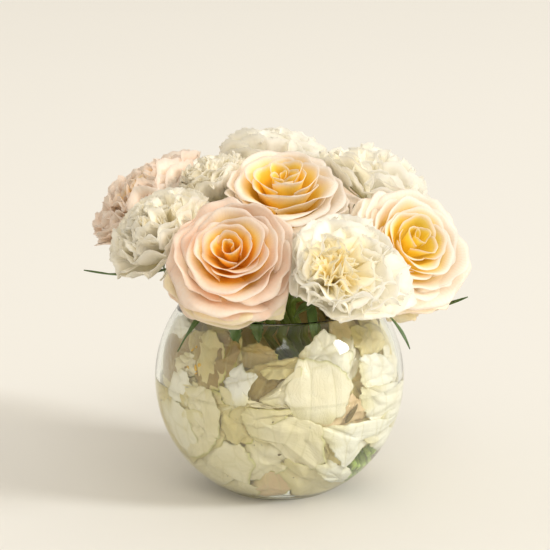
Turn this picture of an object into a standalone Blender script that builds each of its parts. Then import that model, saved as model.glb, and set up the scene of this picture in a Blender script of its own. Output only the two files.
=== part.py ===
"""A glass bowl vase with a dome of roses and carnations, water, and loose petals inside the glass.

Metres, +Z up. The origin is the middle of the vase's foot, and the front of the arrangement faces -Y.
"""

import math
import random
from collections import namedtuple

import bmesh
import bpy
from mathutils import Quaternion, Vector

# The glass bowl is a sphere cut flat for the foot and cut open for the mouth.
BOWL_RADIUS = 0.076
BOWL_CENTRE = Vector((0, 0, 0.068))
GLASS_WALL = 0.003
GLASS_FLOOR = 0.006
MOUTH_RADIUS = 0.059
BOWL_SIDES = 36
BOWL_STEPS = 8

# The water fills the space that the petals against the glass leave.
WATER_LEVEL = 0.070
PETAL_LAYER = 0.0126
WATER_SIDES = 18

# Touching pieces keep this gap.
GAP = 0.0003

ROSE_STEM = 0.0024
CARNATION_STEM = 0.0017
HOLE_CLEARANCE = 0.0008
NECK_HEIGHT = 0.110
OUTER_NECK_RING = 0.021
INNER_NECK_RING = 0.0085
FOOT_OF_BUNCH = Vector((0.043, -0.024, 0))
OUTER_FOOT_RING = 0.0098
INNER_FOOT_RING = 0.0042
FOOT_CLEARANCE = 0.0036
BUNCH_TWIST = math.radians(110)

ROSE_BLADE = 0.0009
CARNATION_BLADE = 0.0008
LOOSE_BLADE = 0.0008
LEAF_BLADE = 0.0009

# How far from a neighbour's side a petal starts to bend away, and how near it may come.
BEND_START = 0.006
BEND_LIMIT = 0.0008

SHARP_ANGLE = math.radians(40)

# A bloom's face is the middle of its open side. Azimuth 0 looks to the front and turns towards +X.
Bloom = namedtuple("Bloom", "name kind face azimuth elevation radius turn crown")
BLOOMS = [
    Bloom("rose_front", "rose", (-0.028, -0.097, 0.1750), -5, 40, 0.041, 10, False),
    Bloom("rose_top", "rose", (0.002, -0.033, 0.2045), -2, 66, 0.041, 70, True),
    Bloom("rose_right", "rose", (0.0830, -0.055, 0.1695), 32, 36, 0.039, 130, False),
    Bloom("rose_left", "rose", (-0.0885, 0.026, 0.1855), -84, 55, 0.045, 200, False),
    Bloom("rose_back", "rose", (0.024, 0.095, 0.167), 165, 36, 0.038, 300, False),
    Bloom("carnation_front", "carnation", (0.043, -0.092, 0.1675), 14, 46, 0.037, 0, False),
    Bloom("carnation_left", "carnation", (-0.0765, -0.044, 0.1775), -52, 48, 0.035, 40, False),
    Bloom("carnation_right", "carnation", (0.094, 0.037, 0.161), 108, 30, 0.035, 80, False),
    Bloom("carnation_back", "carnation", (-0.046, 0.088, 0.166), -152, 36, 0.037, 15, False),
    Bloom("carnation_crown_back", "carnation", (-0.004, 0.044, 0.208), 175, 62, 0.037, 55, True),
    Bloom("carnation_crown_right", "carnation", (0.068, 0.011, 0.199), 96, 60, 0.036, 25, True),
    Bloom("carnation_crown_left", "carnation", (-0.044, 0.002, 0.199), -95, 66, 0.030, 65, True),
]

# A layer of petals: its profile is a curve of (radius, height) from root to tip, in bloom radii.
Layer = namedtuple("Layer", "petals profile half_angle overlap rounding across along")
ROSE_LAYERS = [
    Layer(3, ((0.12, 0.30), (0.44, 0.28), (0.38, 0.80), (0.34, 1.03)), 70, 0.03, 0.14, 3, 2),
    Layer(3, ((0.14, 0.19), (0.66, 0.16), (0.62, 0.74), (0.71, 0.98)), 70, 0.03, 0.20, 4, 2),
    Layer(4, ((0.14, 0.08), (0.74, 0.04), (0.84, 0.56), (1.06, 0.72)), 52, 0.03, 0.26, 4, 3),
]
CARNATION_LAYERS = [
    Layer(3, ((0.05, 0.40), (0.14, 0.60), (0.26, 0.80), (0.36, 0.98)), 52, 0.02, 0.10, 3, 2),
    Layer(4, ((0.12, 0.28), (0.36, 0.40), (0.60, 0.60), (0.78, 0.76)), 42, 0.02, 0.12, 3, 2),
    Layer(5, ((0.15, 0.12), (0.50, 0.10), (0.80, 0.24), (1.02, 0.34)), 34, 0.02, 0.14, 4, 2),
]
ROSE_DEPTH = 1.05
CARNATION_DEPTH = 0.92
RUFFLE = 0.09

# The solid middle of each bloom, as (radius, height) in bloom radii, from the top down.
ROSE_HEART = ((0, 1.00), (0.12, 0.88), (0.20, 0.60), (0.18, 0), (0, 0))
CARNATION_HEART = ((0, 0.62), (0.18, 0.54), (0.24, 0.28), (0.18, 0), (0, 0))
HEART_SIDES = 6

# The green cup under each bloom, as (radius, height) in metres, from the top down.
ROSE_CUP = ((0, 0), (0.0062, 0), (0.0058, -0.006), (0.0026, -0.012), (0, -0.012))
CARNATION_CUP = ((0, 0), (0.0056, 0), (0.0056, -0.014), (0.0022, -0.022), (0, -0.022))
CUP_SIDES = 6
SEPAL_COUNT = 5
SEPAL_LENGTH = 0.026
SEPAL_WIDTH = 0.0042

# Each narrow leaf grows from one bloom's stem: how far down it, where the tip is, the arch and the width.
Leaf = namedtuple("Leaf", "bloom along tip arch width")
LEAVES = [
    Leaf("rose_left", 0.15, (-0.117, -0.010, 0.137), -0.006, 0.0080),
    Leaf("rose_right", 0.12, (0.111, -0.030, 0.1255), -0.007, 0.0080),
    Leaf("carnation_front", 0.10, (0.0735, -0.078, 0.107), 0.002, 0.0045),
    Leaf("rose_front", 0.08, (-0.058, -0.080, 0.106), 0.004, 0.0050),
    Leaf("rose_front", 0.45, (-0.012, -0.052, 0.110), 0.004, 0.0100),
    Leaf("carnation_right", 0.15, (0.100, 0.050, 0.112), -0.006, 0.0055),
    Leaf("carnation_back", 0.15, (-0.072, 0.096, 0.104), -0.008, 0.0055),
]

# Rings of loose petals inside the glass: how many, the middle height, the turn, and the ones left out.
# The lowest ring leaves one out where the ends of the stems show.
LooseRing = namedtuple("LooseRing", "count height turn left_out")
LOOSE_RINGS = [
    LooseRing(6, 0.025, -31, (0,)),
    LooseRing(7, 0.057, -82, ()),
    LooseRing(7, 0.084, -60, ()),
]
LOOSE_HALF_WIDTH = 0.032
LOOSE_HALF_LENGTH = 0.025
LOOSE_TILT = math.radians(18)
LOOSE_NEAREST = 0.0015
SHINGLE_ROUND = 0.0022
SHINGLE_UP = 0.150

MATERIALS = {
    "clear_glass": ((0.93, 0.96, 0.94), 0.02, 1.0),
    "water": ((0.93, 0.96, 0.92), 0.02, 1.0),
    "rose_petal": ((0.96, 0.76, 0.55), 0.55, 0.0),
    "carnation_petal": ((0.93, 0.92, 0.84), 0.60, 0.0),
    "loose_petal": ((0.92, 0.90, 0.80), 0.45, 0.0),
    "green_stem": ((0.20, 0.34, 0.08), 0.50, 0.0),
}


def clear_scene():
    for old in list(bpy.data.objects):
        bpy.data.objects.remove(old)


def new_collection(name):
    made = bpy.data.collections.new(name)
    bpy.context.scene.collection.children.link(made)
    return made


def new_material(name):
    colour, roughness, transmission = MATERIALS[name]
    made = bpy.data.materials.new(name)
    made.use_nodes = True
    shader = made.node_tree.nodes["Principled BSDF"]
    shader.inputs["Base Color"].default_value = (*colour, 1)
    shader.inputs["Roughness"].default_value = roughness
    shader.inputs["Transmission Weight"].default_value = transmission
    return made


def new_object(name, mesh, home):
    made = bpy.data.objects.new(name, mesh)
    home.objects.link(made)
    return made


def turned(name, profile, sides, home):
    """A closed body of revolution: the profile runs from the axis, down the outer side, back to the axis."""
    mesh = bpy.data.meshes.new(name)
    corners = [(radius, 0, height) for radius, height in profile]
    mesh.from_pydata(corners, [(i, i + 1) for i in range(len(corners) - 1)], [])
    made = new_object(name, mesh, home)
    screw = made.modifiers.new("Turn", "SCREW")
    screw.steps = sides
    screw.render_steps = sides
    screw.use_merge_vertices = True
    screw.merge_threshold = 0.00001
    return made


def blade(name, across, along, thickness, place, home):
    """A thin sheet through place(u, v), u from -1 to 1 across and v from 0 to 1 along, given its thickness."""
    grid = bmesh.new()
    bmesh.ops.create_grid(grid, x_segments=across, y_segments=along, size=1.0)
    for corner in grid.verts:
        corner.co = place(corner.co.x, (corner.co.y + 1) / 2)
    bmesh.ops.remove_doubles(grid, verts=grid.verts[:], dist=0.00001)
    bmesh.ops.triangulate(grid, faces=grid.faces[:])
    mesh = bpy.data.meshes.new(name)
    grid.to_mesh(mesh)
    grid.free()
    made = new_object(name, mesh, home)
    thicken = made.modifiers.new("Thickness", "SOLIDIFY")
    thicken.thickness = thickness
    thicken.offset = 0
    return made


def tube(name, points, radius, home):
    """A six-sided rod along the points, as a mesh with its end caps joined on."""
    curve = bpy.data.curves.new(name, "CURVE")
    curve.dimensions = "3D"
    curve.bevel_depth = radius
    curve.bevel_resolution = 1
    curve.use_fill_caps = True
    line = curve.splines.new("POLY")
    line.points.add(len(points) - 1)
    for corner, point in zip(line.points, points):
        corner.co = (*point, 1)
    guide = new_object(name + "_guide", curve, home)
    mesh = read_mesh(guide, name)
    bpy.data.objects.remove(guide)
    return new_object(name, mesh, home)


def read_mesh(source, name):
    """The object's shape with its modifiers, as a mesh of its own with doubled points joined."""
    bpy.context.view_layer.update()
    graph = bpy.context.evaluated_depsgraph_get()
    mesh = bpy.data.meshes.new_from_object(source.evaluated_get(graph))
    mesh.name = name
    shape = bmesh.new()
    shape.from_mesh(mesh)
    bmesh.ops.remove_doubles(shape, verts=shape.verts[:], dist=0.000002)
    shape.to_mesh(mesh)
    shape.free()
    return mesh


def bodies_of(shape):
    """The separate bodies of a mesh, each as its list of corners."""
    left = set(shape.verts)
    found = []
    while left:
        body, edge = set(), [left.pop()]
        while edge:
            corner = edge.pop()
            body.add(corner)
            for side in corner.link_edges:
                other = side.other_vert(corner)
                if other in left:
                    left.remove(other)
                    edge.append(other)
        found.append(list(body))
    return found


def span(corners):
    return sum(max(c.co[k] for c in corners) - min(c.co[k] for c in corners) for k in range(3))


def keep_largest_body(mesh):
    """Drops loose scraps and the inner skins of sealed hollows, which fills them."""
    shape = bmesh.new()
    shape.from_mesh(mesh)
    bodies = sorted(bodies_of(shape), key=span)
    for body in bodies[:-1]:
        bmesh.ops.delete(shape, geom=body, context="VERTS")
    shape.to_mesh(mesh)
    shape.free()


def boolean(target, operation, others, name):
    """Applies one Boolean of the target with all the others, and removes the others."""
    group = new_collection(name + "_operands")
    for other in others:
        for home in list(other.users_collection):
            home.objects.unlink(other)
        group.objects.link(other)
    cut = target.modifiers.new("Boolean", "BOOLEAN")
    cut.operation = operation
    cut.operand_type = "COLLECTION"
    cut.collection = group
    cut.solver = "MANIFOLD"
    mesh = read_mesh(target, name)
    keep_largest_body(mesh)
    mesh.shade_smooth()
    mesh.set_sharp_from_angle(angle=SHARP_ANGLE)
    target.modifiers.clear()
    target.data = mesh
    target.name = name
    for other in others:
        bpy.data.objects.remove(other)
    bpy.data.collections.remove(group)
    return target


def curve_point(control, t):
    """A point of the cubic curve with these four control points."""
    s = 1 - t
    weights = (s ** 3, 3 * s * s * t, 3 * s * t * t, t ** 3)
    return tuple(sum(w * c[k] for w, c in zip(weights, control)) for k in range(len(control[0])))


def direction(azimuth, elevation):
    a, e = math.radians(azimuth), math.radians(elevation)
    return Vector((math.sin(a) * math.cos(e), -math.cos(a) * math.cos(e), math.sin(e)))


def depth_of(bloom):
    """From the top of the green cup to the bloom's face."""
    return bloom.radius * (ROSE_DEPTH if bloom.kind == "rose" else CARNATION_DEPTH)


def base_of(bloom):
    return Vector(bloom.face) - direction(bloom.azimuth, bloom.elevation) * depth_of(bloom)


def site_of(bloom):
    """The middle of the bloom's head, which its neighbours' sides are measured from."""
    return Vector(bloom.face) - direction(bloom.azimuth, bloom.elevation) * depth_of(bloom) * 0.42


def rotation_of(bloom):
    upright = Vector((0, 0, 1)).rotation_difference(direction(bloom.azimuth, bloom.elevation))
    return upright @ Quaternion((0, 0, 1), math.radians(bloom.turn))


def eased(distance, start, limit):
    """A distance from a wall, eased so that it never falls below the limit."""
    if distance >= start:
        return distance
    room = start - limit
    return limit + room * math.exp((distance - start) / room)


def bend_clear(point, bloom):
    """Bends a point of a petal back from the neighbouring blooms and from the glass."""
    spin, base = rotation_of(bloom), base_of(bloom)
    place = base + spin @ point
    own = site_of(bloom)
    for _ in range(3):
        for other in BLOOMS:
            if other is bloom:
                continue
            away = site_of(other) - own
            share = bloom.radius / (bloom.radius + other.radius)
            wall = own + away * share
            away.normalize()
            distance = (wall - place).dot(away)
            place = place - away * (eased(distance, BEND_START, BEND_LIMIT) - distance)
        out = place - BOWL_CENTRE
        height = out.length - BOWL_RADIUS
        place = BOWL_CENTRE + out.normalized() * (BOWL_RADIUS + eased(height, 0.006, 0.0012))
    return spin.inverted() @ (place - base)


def petal_point(layer, size, turn, u, v, wave):
    """A point of a petal: up its profile at v and round the axis at u, with a side overlap and a waved rim."""
    reach = v * (1 - layer.rounding * abs(u) ** 2.5)
    radius, height = curve_point(layer.profile, reach)
    low, high = curve_point(layer.profile, max(reach - 0.1, 0)), curve_point(layer.profile, min(reach + 0.1, 1))
    slope = Vector((high[0] - low[0], high[1] - low[1])).normalized()
    shift = layer.overlap * u + wave * v * v
    radius += shift * slope.y
    height -= shift * slope.x
    angle = turn + u * math.radians(layer.half_angle)
    return Vector((radius * math.cos(angle), radius * math.sin(angle), height)) * size


def bloom_head(bloom, material, home):
    """All the petals of one bloom, joined to its heart."""
    rose = bloom.kind == "rose"
    heart = ROSE_HEART if rose else CARNATION_HEART
    size = bloom.radius
    floor = GAP / 2
    profile = [(r * size, floor + z * size) for r, z in heart]
    head = turned(bloom.name + "_heart", profile, HEART_SIDES, home)
    draw = random.Random(bloom.name)
    petals = []
    for number, layer in enumerate(ROSE_LAYERS if rose else CARNATION_LAYERS):
        start = math.radians(47 * number)
        for k in range(layer.petals):
            turn = start + 2 * math.pi * k / layer.petals + draw.uniform(-0.06, 0.06)

            def place(u, v):
                column = round((u + 1) / 2 * layer.across)
                wave = 0 if rose else RUFFLE * (-1) ** (column + k)
                return bend_clear(petal_point(layer, size, turn, u, v, wave), bloom)

            thickness = ROSE_BLADE if rose else CARNATION_BLADE
            name = f"{bloom.name}_petal_{number}_{k}"
            petals.append(blade(name, layer.across, layer.along, thickness, place, home))
    head = boolean(head, "UNION", petals, bloom.name)
    head.location = base_of(bloom)
    head.rotation_mode = "QUATERNION"
    head.rotation_quaternion = rotation_of(bloom)
    head.data.materials.append(material)
    return head


def bunch_place(bloom):
    """The bloom's stem in the bunch: its angle, and its radius at the neck and at the foot."""
    base = base_of(bloom)
    angle = math.atan2(base.y, base.x)
    if bloom.crown:
        return angle, INNER_NECK_RING, INNER_FOOT_RING
    return angle, OUTER_NECK_RING, OUTER_FOOT_RING


def floor_height(x, y):
    """The height at which a stem's end just clears the inside of the glass over (x, y)."""
    inner = BOWL_RADIUS - GLASS_WALL - FOOT_CLEARANCE
    return max(GLASS_FLOOR + FOOT_CLEARANCE, BOWL_CENTRE.z - math.sqrt(inner ** 2 - x * x - y * y))


def stem_ends(bloom):
    """Where the stem passes the neck, and where it stands on the glass."""
    angle, neck, foot = bunch_place(bloom)
    top = Vector((neck * math.cos(angle), neck * math.sin(angle), NECK_HEIGHT))
    angle += BUNCH_TWIST
    low = FOOT_OF_BUNCH + foot * Vector((math.cos(angle), math.sin(angle), 0))
    low.z = floor_height(low.x, low.y)
    return top, low


def stem_line(bloom):
    """The stem's middle line from under the bloom to the foot, straight below the neck."""
    neck, foot = stem_ends(bloom)
    down = -direction(bloom.azimuth, bloom.elevation)
    start = base_of(bloom) + down * 0.007
    along = (foot - neck).normalized()
    reach = (neck - start).length
    control = (start, start + down * 0.42 * reach, neck - along * 0.42 * reach, neck)
    steps = 4
    return [Vector(curve_point(control, k / steps)) for k in range(steps + 1)] + [foot]


def sepal_place(turn, length):
    """Places the points of one sepal, which springs from the cup's rim and curls down."""
    def place(u, v):
        width = SEPAL_WIDTH * (1 - v) ** 0.8 * u * 0.5
        radius = 0.005 + length * math.sin(1.35 * v) / 1.35
        height = -0.0014 - length * 0.55 * v * v
        side = Vector((-math.sin(turn), math.cos(turn), 0))
        return Vector((radius * math.cos(turn), radius * math.sin(turn), height)) + side * width

    return place


def leaf_place(leaf, bloom):
    """Places the points of one narrow leaf, from the stem to its tip."""
    line = stem_line(bloom)
    spot = leaf.along * (len(line) - 1)
    k = int(spot)
    root = line[k].lerp(line[k + 1], spot - k)
    tip = Vector(leaf.tip)
    run = tip - root
    side = run.cross(Vector((0, 0, 1))).normalized()
    lift = side.cross(run).normalized()

    def place(u, v):
        width = leaf.width * 0.5 * u * (0.45 + 1.9 * v) * (1 - v) ** 0.8
        arch = leaf.arch * 4 * v * (1 - v)
        return root + run * v + side * width + lift * (arch + 0.15 * abs(width))

    return place


def green_stem(bloom, material, home):
    """One bloom's stem with its cup, its sepals if it is a rose, and its leaf if it has one."""
    rose = bloom.kind == "rose"
    radius = ROSE_STEM if rose else CARNATION_STEM
    stem = tube(bloom.name + "_stem_line", stem_line(bloom), radius, home)
    cup_profile = [(r, z - GAP / 2) for r, z in (ROSE_CUP if rose else CARNATION_CUP)]
    cup = turned(bloom.name + "_cup", cup_profile, CUP_SIDES, home)
    grown = [cup]
    for k in range(SEPAL_COUNT if rose else 0):
        name = f"{bloom.name}_sepal_{k}"
        place = sepal_place(2 * math.pi * k / SEPAL_COUNT, SEPAL_LENGTH)
        grown.append(blade(name, 1, 2, LEAF_BLADE, place, home))
    for piece in grown:
        piece.location = base_of(bloom)
        piece.rotation_mode = "QUATERNION"
        piece.rotation_quaternion = rotation_of(bloom)
    for number, leaf in enumerate(LEAVES):
        if leaf.bloom == bloom.name:
            grown.append(blade(f"{bloom.name}_leaf_{number}", 2, 3, LEAF_BLADE, leaf_place(leaf, bloom), home))
    stem = boolean(stem, "UNION", grown, bloom.name + "_stem")
    stem.data.materials.append(material)
    return stem


def arc(radius, low_angle, high_angle, steps):
    """Points of a circle round the bowl's centre, as (radius, height), between two angles above its equator."""
    turns = [low_angle + (high_angle - low_angle) * k / steps for k in range(steps + 1)]
    return [(radius * math.cos(t), BOWL_CENTRE.z + radius * math.sin(t)) for t in turns]


def glass_vase(material, home):
    """The bowl: inner floor and wall, rounded lip, outer wall and flat foot."""
    inner = BOWL_RADIUS - GLASS_WALL
    lip = math.acos(MOUTH_RADIUS / BOWL_RADIUS)
    foot = -math.asin(BOWL_CENTRE.z / BOWL_RADIUS)
    floor = -math.asin((BOWL_CENTRE.z - GLASS_FLOOR) / inner)
    middle = BOWL_RADIUS - GLASS_WALL / 2
    crest = (middle * math.cos(lip), BOWL_CENTRE.z + middle * math.sin(lip) + GLASS_WALL * 0.5)
    profile = [(0, GLASS_FLOOR)] + arc(inner, floor, lip, BOWL_STEPS)
    profile += [crest] + arc(BOWL_RADIUS, lip, foot, BOWL_STEPS) + [(0, 0)]
    vase = turned("vase", profile, BOWL_SIDES, home)
    vase.data.materials.append(material)
    return vase


def water_body(material, home):
    """The water inside the petal layer, with a plain hole for each stem."""
    radius = BOWL_RADIUS - GLASS_WALL - PETAL_LAYER
    bottom = GLASS_FLOOR + GAP
    low = -math.asin((BOWL_CENTRE.z - bottom) / (radius + PETAL_LAYER * 0.6))
    high = math.asin((WATER_LEVEL - BOWL_CENTRE.z) / radius)
    wall = [(r, max(z, bottom + 0.001)) for r, z in arc(radius, high, low, 5)]
    profile = [(0, WATER_LEVEL)] + wall + [(wall[-1][0] - 0.003, bottom), (0, bottom)]
    water = turned("water_body", profile, WATER_SIDES, home)
    holes = []
    for bloom in BLOOMS:
        neck, foot = stem_ends(bloom)
        down = (foot - neck).normalized()
        radius = (ROSE_STEM if bloom.kind == "rose" else CARNATION_STEM) + HOLE_CLEARANCE
        start = neck.lerp(foot, 0.2)
        holes.append(tube(bloom.name + "_hole", [start, foot + down * 0.006], radius, home))
    water = boolean(water, "DIFFERENCE", holes, "water")
    water.data.materials.append(material)
    return water


def loose_place(ring, k, draw):
    """Places the points of a loose petal that lies inside the glass, shingled with its neighbours."""
    inner = BOWL_RADIUS - GLASS_WALL
    turn = math.radians(ring.turn) + 2 * math.pi * k / ring.count
    rise = math.asin((ring.height - BOWL_CENTRE.z) / inner)
    pitch = inner * math.cos(rise) * 2 * math.pi / ring.count
    tilt = draw.uniform(-LOOSE_TILT, LOOSE_TILT)
    width = min(LOOSE_HALF_WIDTH, pitch * 0.56)

    def spread(u, v):
        x = u * width * (0.62 + 0.76 * v - 0.42 * v * v)
        y = (2 * v - 1) * LOOSE_HALF_LENGTH * (1 - 0.30 * abs(u) ** 2.5)
        across = x * math.cos(tilt) - y * math.sin(tilt)
        up = x * math.sin(tilt) + y * math.cos(tilt)
        return across, up, SHINGLE_ROUND * across / pitch - SHINGLE_UP * up

    nearest = min(spread(u / 4, v / 4)[2] for u in range(-4, 5) for v in range(5))

    def place(u, v):
        across, up, depth = spread(u, v)
        angle = turn + across / (inner * math.cos(rise))
        height = rise + up / inner
        radius = inner - LOOSE_NEAREST - (depth - nearest)
        return BOWL_CENTRE + radius * Vector((
            math.cos(height) * math.cos(angle), math.cos(height) * math.sin(angle), math.sin(height)))

    return place


def loose_petals(material, home):
    """The petals packed between the water and the glass."""
    draw = random.Random(7)
    made = []
    for number, ring in enumerate(LOOSE_RINGS):
        for k in range(ring.count):
            place = loose_place(ring, k, draw)
            if k in ring.left_out:
                continue
            petal = blade(f"loose_petal_{number + 1}_{k + 1}", 3, 3, LOOSE_BLADE, place, home)
            petal.data.materials.append(material)
            made.append(petal)
    return made


def main():
    clear_scene()
    home = new_collection("flower_arrangement")
    finish = {name: new_material(name) for name in MATERIALS}
    glass_vase(finish["clear_glass"], home)
    water_body(finish["water"], home)
    loose_petals(finish["loose_petal"], home)
    for bloom in BLOOMS:
        bloom_head(bloom, finish[bloom.kind + "_petal"], home)
        green_stem(bloom, finish["green_stem"], home)


main()
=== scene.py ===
"""The finished look of a glass bowl of roses, carnations and loose petals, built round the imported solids.

Metres, +Z up. The origin is the middle of the bowl's foot, and the front of the arrangement faces -Y.
"""

import math
import random
from collections import namedtuple

import bpy
import numpy as np
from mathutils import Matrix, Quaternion, Vector


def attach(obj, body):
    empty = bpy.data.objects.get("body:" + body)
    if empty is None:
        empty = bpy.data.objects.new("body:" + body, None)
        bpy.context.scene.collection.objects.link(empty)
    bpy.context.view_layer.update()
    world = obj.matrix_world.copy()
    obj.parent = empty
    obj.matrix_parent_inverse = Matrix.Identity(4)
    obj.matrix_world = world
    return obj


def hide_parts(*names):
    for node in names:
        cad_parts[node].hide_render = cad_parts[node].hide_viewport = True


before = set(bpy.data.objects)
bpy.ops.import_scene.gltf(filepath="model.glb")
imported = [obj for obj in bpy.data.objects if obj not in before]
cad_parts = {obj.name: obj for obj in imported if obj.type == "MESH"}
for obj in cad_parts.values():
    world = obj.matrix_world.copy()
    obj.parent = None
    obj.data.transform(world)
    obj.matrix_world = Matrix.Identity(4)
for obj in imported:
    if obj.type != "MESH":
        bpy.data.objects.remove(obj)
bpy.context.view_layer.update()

bl_info = {
    "name": "Flower Arrangement in Vase",
    "version": (1, 0, 0),
    "blender": (4, 5, 0),
    "location": "View3D > Sidebar > Flowers",
    "description": "Builds a glass bowl of roses and carnations with its petals, stems and water",
    "category": "Add Mesh",
}

# The bowl stands on its foot, and its middle is this high.
BOWL_HEIGHT = 0.068
BOWL_CENTRE = Vector((0, 0, BOWL_HEIGHT))
BOWL_SIDES = 96
ARC_STEPS = 22

# The ring in which the stems cross the neck, and the spot on the glass where they stand.
ROSE_STEM = 0.0024
CARNATION_STEM = 0.0017
NECK_HEIGHT = 0.110
OUTER_NECK_RING = 0.021
INNER_NECK_RING = 0.0085
FOOT_OF_BUNCH = Vector((0.043, -0.024, 0))
OUTER_FOOT_RING = 0.0098
INNER_FOOT_RING = 0.0042
FOOT_CLEARANCE = 0.0036
BUNCH_TWIST = math.radians(110)

# How far from a neighbour's side, from its lowest height and from the glass a petal starts to bend away, and
# how near to the glass it comes.
BEND_START = 0.005
SAG_START = 0.016
GLASS_START = 0.006
GLASS_LIMIT = 0.0010
BEND_ROUNDS = 3

# A bloom's face is the middle of its open side. Azimuth 0 looks to the front and turns towards +X. Turn spins
# the bloom round its own axis, in degrees, and a crown bloom's stem stands in the inner ring.
Bloom = namedtuple("Bloom", "name kind face azimuth elevation radius turn crown")
BLOOMS = [
    Bloom("rose_front", "rose", (-0.028, -0.097, 0.1750), -5, 40, 0.041, 10, False),
    Bloom("rose_top", "rose", (0.002, -0.033, 0.2045), -2, 66, 0.041, 70, True),
    Bloom("rose_right", "rose", (0.0830, -0.055, 0.1695), 32, 36, 0.039, 130, False),
    Bloom("rose_left", "rose", (-0.0885, 0.026, 0.1855), -84, 55, 0.045, 200, False),
    Bloom("rose_back", "rose", (0.024, 0.095, 0.167), 165, 36, 0.038, 300, False),
    Bloom("carnation_front", "carnation", (0.043, -0.092, 0.1675), 14, 46, 0.037, 0, False),
    Bloom("carnation_left", "carnation", (-0.0765, -0.044, 0.1775), -52, 48, 0.035, 40, False),
    Bloom("carnation_right", "carnation", (0.094, 0.037, 0.161), 108, 30, 0.035, 80, False),
    Bloom("carnation_back", "carnation", (-0.046, 0.088, 0.166), -152, 36, 0.037, 15, False),
    Bloom("carnation_crown_back", "carnation", (-0.004, 0.044, 0.208), 175, 62, 0.037, 55, True),
    Bloom("carnation_crown_right", "carnation", (0.068, 0.011, 0.199), 96, 60, 0.036, 25, True),
    Bloom("carnation_crown_left", "carnation", (-0.044, 0.002, 0.199), -95, 66, 0.030, 65, True),
]

# How a bloom's petals differ from the others'. Spread widens the oldest ones and lift raises their rims, in
# bloom radii, press is how far they may push past a neighbour's side in metres, opened how far the flower
# has opened, ruffle how wavy they are, gold how yellow inside, and blush how pink a rose is and how much
# painted shade darkens a bloom that stands in shade. Eye is how far the middle of a carnation lies off its
# axis, in bloom radii, a frilled rose has many narrow petals like a carnation's, and above is the height in
# metres that the petals stay over.
Look = namedtuple(
    "Look", "spread lift press opened ruffle gold blush eye frilled above", defaults=((0, 0), False, 0.0))
LOOKS = {
    "rose_front": Look(1.02, -0.12, 0.006, 0.15, 1.6, 0.30, 0.62, above=0.116),
    "rose_top": Look(1.03, -0.10, 0.012, 0.7, 1.7, 0.75, 0.10),
    "rose_right": Look(1.08, 0.02, 0.008, 0.5, 1.6, 1.00, 0.10),
    "rose_left": Look(1.04, 0.24, 0.008, 0.0, 1.5, 0.25, 0.40, frilled=True, above=0.147),
    "rose_back": Look(1.04, 0.00, 0.005, 0.3, 1.0, 0.50, 0.50),
    "carnation_front": Look(1.01, 0.00, 0.018, 0.0, 1.1, 1.00, 0.0, eye=(-0.34, -0.40), above=0.125),
    "carnation_left": Look(1.03, 0.00, 0.010, 0.0, 1.1, 0.25, 0.4),
    "carnation_right": Look(1.04, 0.00, 0.006, 0.0, 1.0, 0.10, 0.2),
    "carnation_back": Look(1.04, 0.00, 0.006, 0.0, 1.0, 0.10, 0.6),
    "carnation_crown_back": Look(1.02, 0.00, 0.006, 0.0, 1.0, 0.00, 0.1),
    "carnation_crown_right": Look(1.02, 0.00, 0.008, 0.0, 1.0, 0.00, 0.1),
    "carnation_crown_left": Look(0.88, 0.00, 0.003, 0.0, 1.0, 0.20, 0.5),
}

# The outermost petals of a rose. Aside is how far each hangs from straight down, in degrees towards the
# viewer's right, droop how low its rim hangs in bloom radii, and wide its width against a common one.
Guard = namedtuple("Guard", "bloom aside droop wide")
GUARDS = [
    Guard("rose_front", 14, -0.20, 1.40),
    Guard("rose_front", -48, -0.12, 1.30),
    Guard("rose_front", -115, 0.06, 1.10),
    Guard("rose_front", 52, 1.00, 0.50),
    Guard("rose_right", -14, 0.34, 0.50),
    Guard("rose_right", 70, 0.08, 1.20),
    Guard("rose_top", -10, 0.16, 1.30),
    Guard("rose_top", 62, 0.20, 1.10),
    Guard("rose_top", -70, 0.14, 1.20),
]
GUARD_AGE = 1.2

# A bloom's depth from its face to its cup, in its radii, and the share of it down to the head's middle.
ROSE_DEPTH = 1.05
CARNATION_DEPTH = 0.92
HEAD_MIDDLE = 0.42

# How much of a lamp's light a petal lets through to what lies behind it.
ROSE_CLEARNESS = 0.82
CARNATION_CLEARNESS = 0.86
LOOSE_CLEARNESS = 0.60

# How a petal's profile changes from the youngest, age 0, to the oldest, age 1, as curves of
# (radius, height) from root to rim in bloom radii.
ROSE_PROFILES = (
    (0.00, ((0.00, 0.45), (0.05, 0.55), (0.060, 0.80), (0.015, 0.94))),
    (0.15, ((0.03, 0.38), (0.14, 0.46), (0.170, 0.76), (0.160, 0.98))),
    (0.40, ((0.07, 0.32), (0.26, 0.38), (0.360, 0.74), (0.450, 0.97))),
    (0.70, ((0.10, 0.22), (0.42, 0.24), (0.600, 0.60), (0.750, 0.85))),
    (1.00, ((0.14, 0.10), (0.60, 0.10), (0.800, 0.42), (0.960, 0.60))),
)
CARNATION_PROFILES = (
    (0.00, ((0.02, 0.45), (0.05, 0.62), (0.08, 0.84), (0.10, 1.00))),
    (0.35, ((0.05, 0.38), (0.14, 0.58), (0.28, 0.80), (0.38, 0.98))),
    (0.70, ((0.12, 0.26), (0.38, 0.38), (0.64, 0.60), (0.84, 0.80))),
    (1.00, ((0.15, 0.12), (0.52, 0.10), (0.86, 0.26), (1.10, 0.38))),
)
GOLDEN_ANGLE = math.radians(137.508)

# The columns and rows of faces in the flat sheets that everything thin is shaped from.
ROSE_SHEET = (24, 14)
FAN_COLUMNS = 30
FAN_SHEET = (FAN_COLUMNS, 7)
SEPAL_SHEET = (6, 14)
LEAF_SHEET = (6, 36)
LOOSE_SHEETS = {"front": (30, 30), "side": (20, 20), "deep": (12, 12)}

# How near two corners of a mesh lie to be merged.
MERGE_DISTANCE = 0.000002

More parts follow.
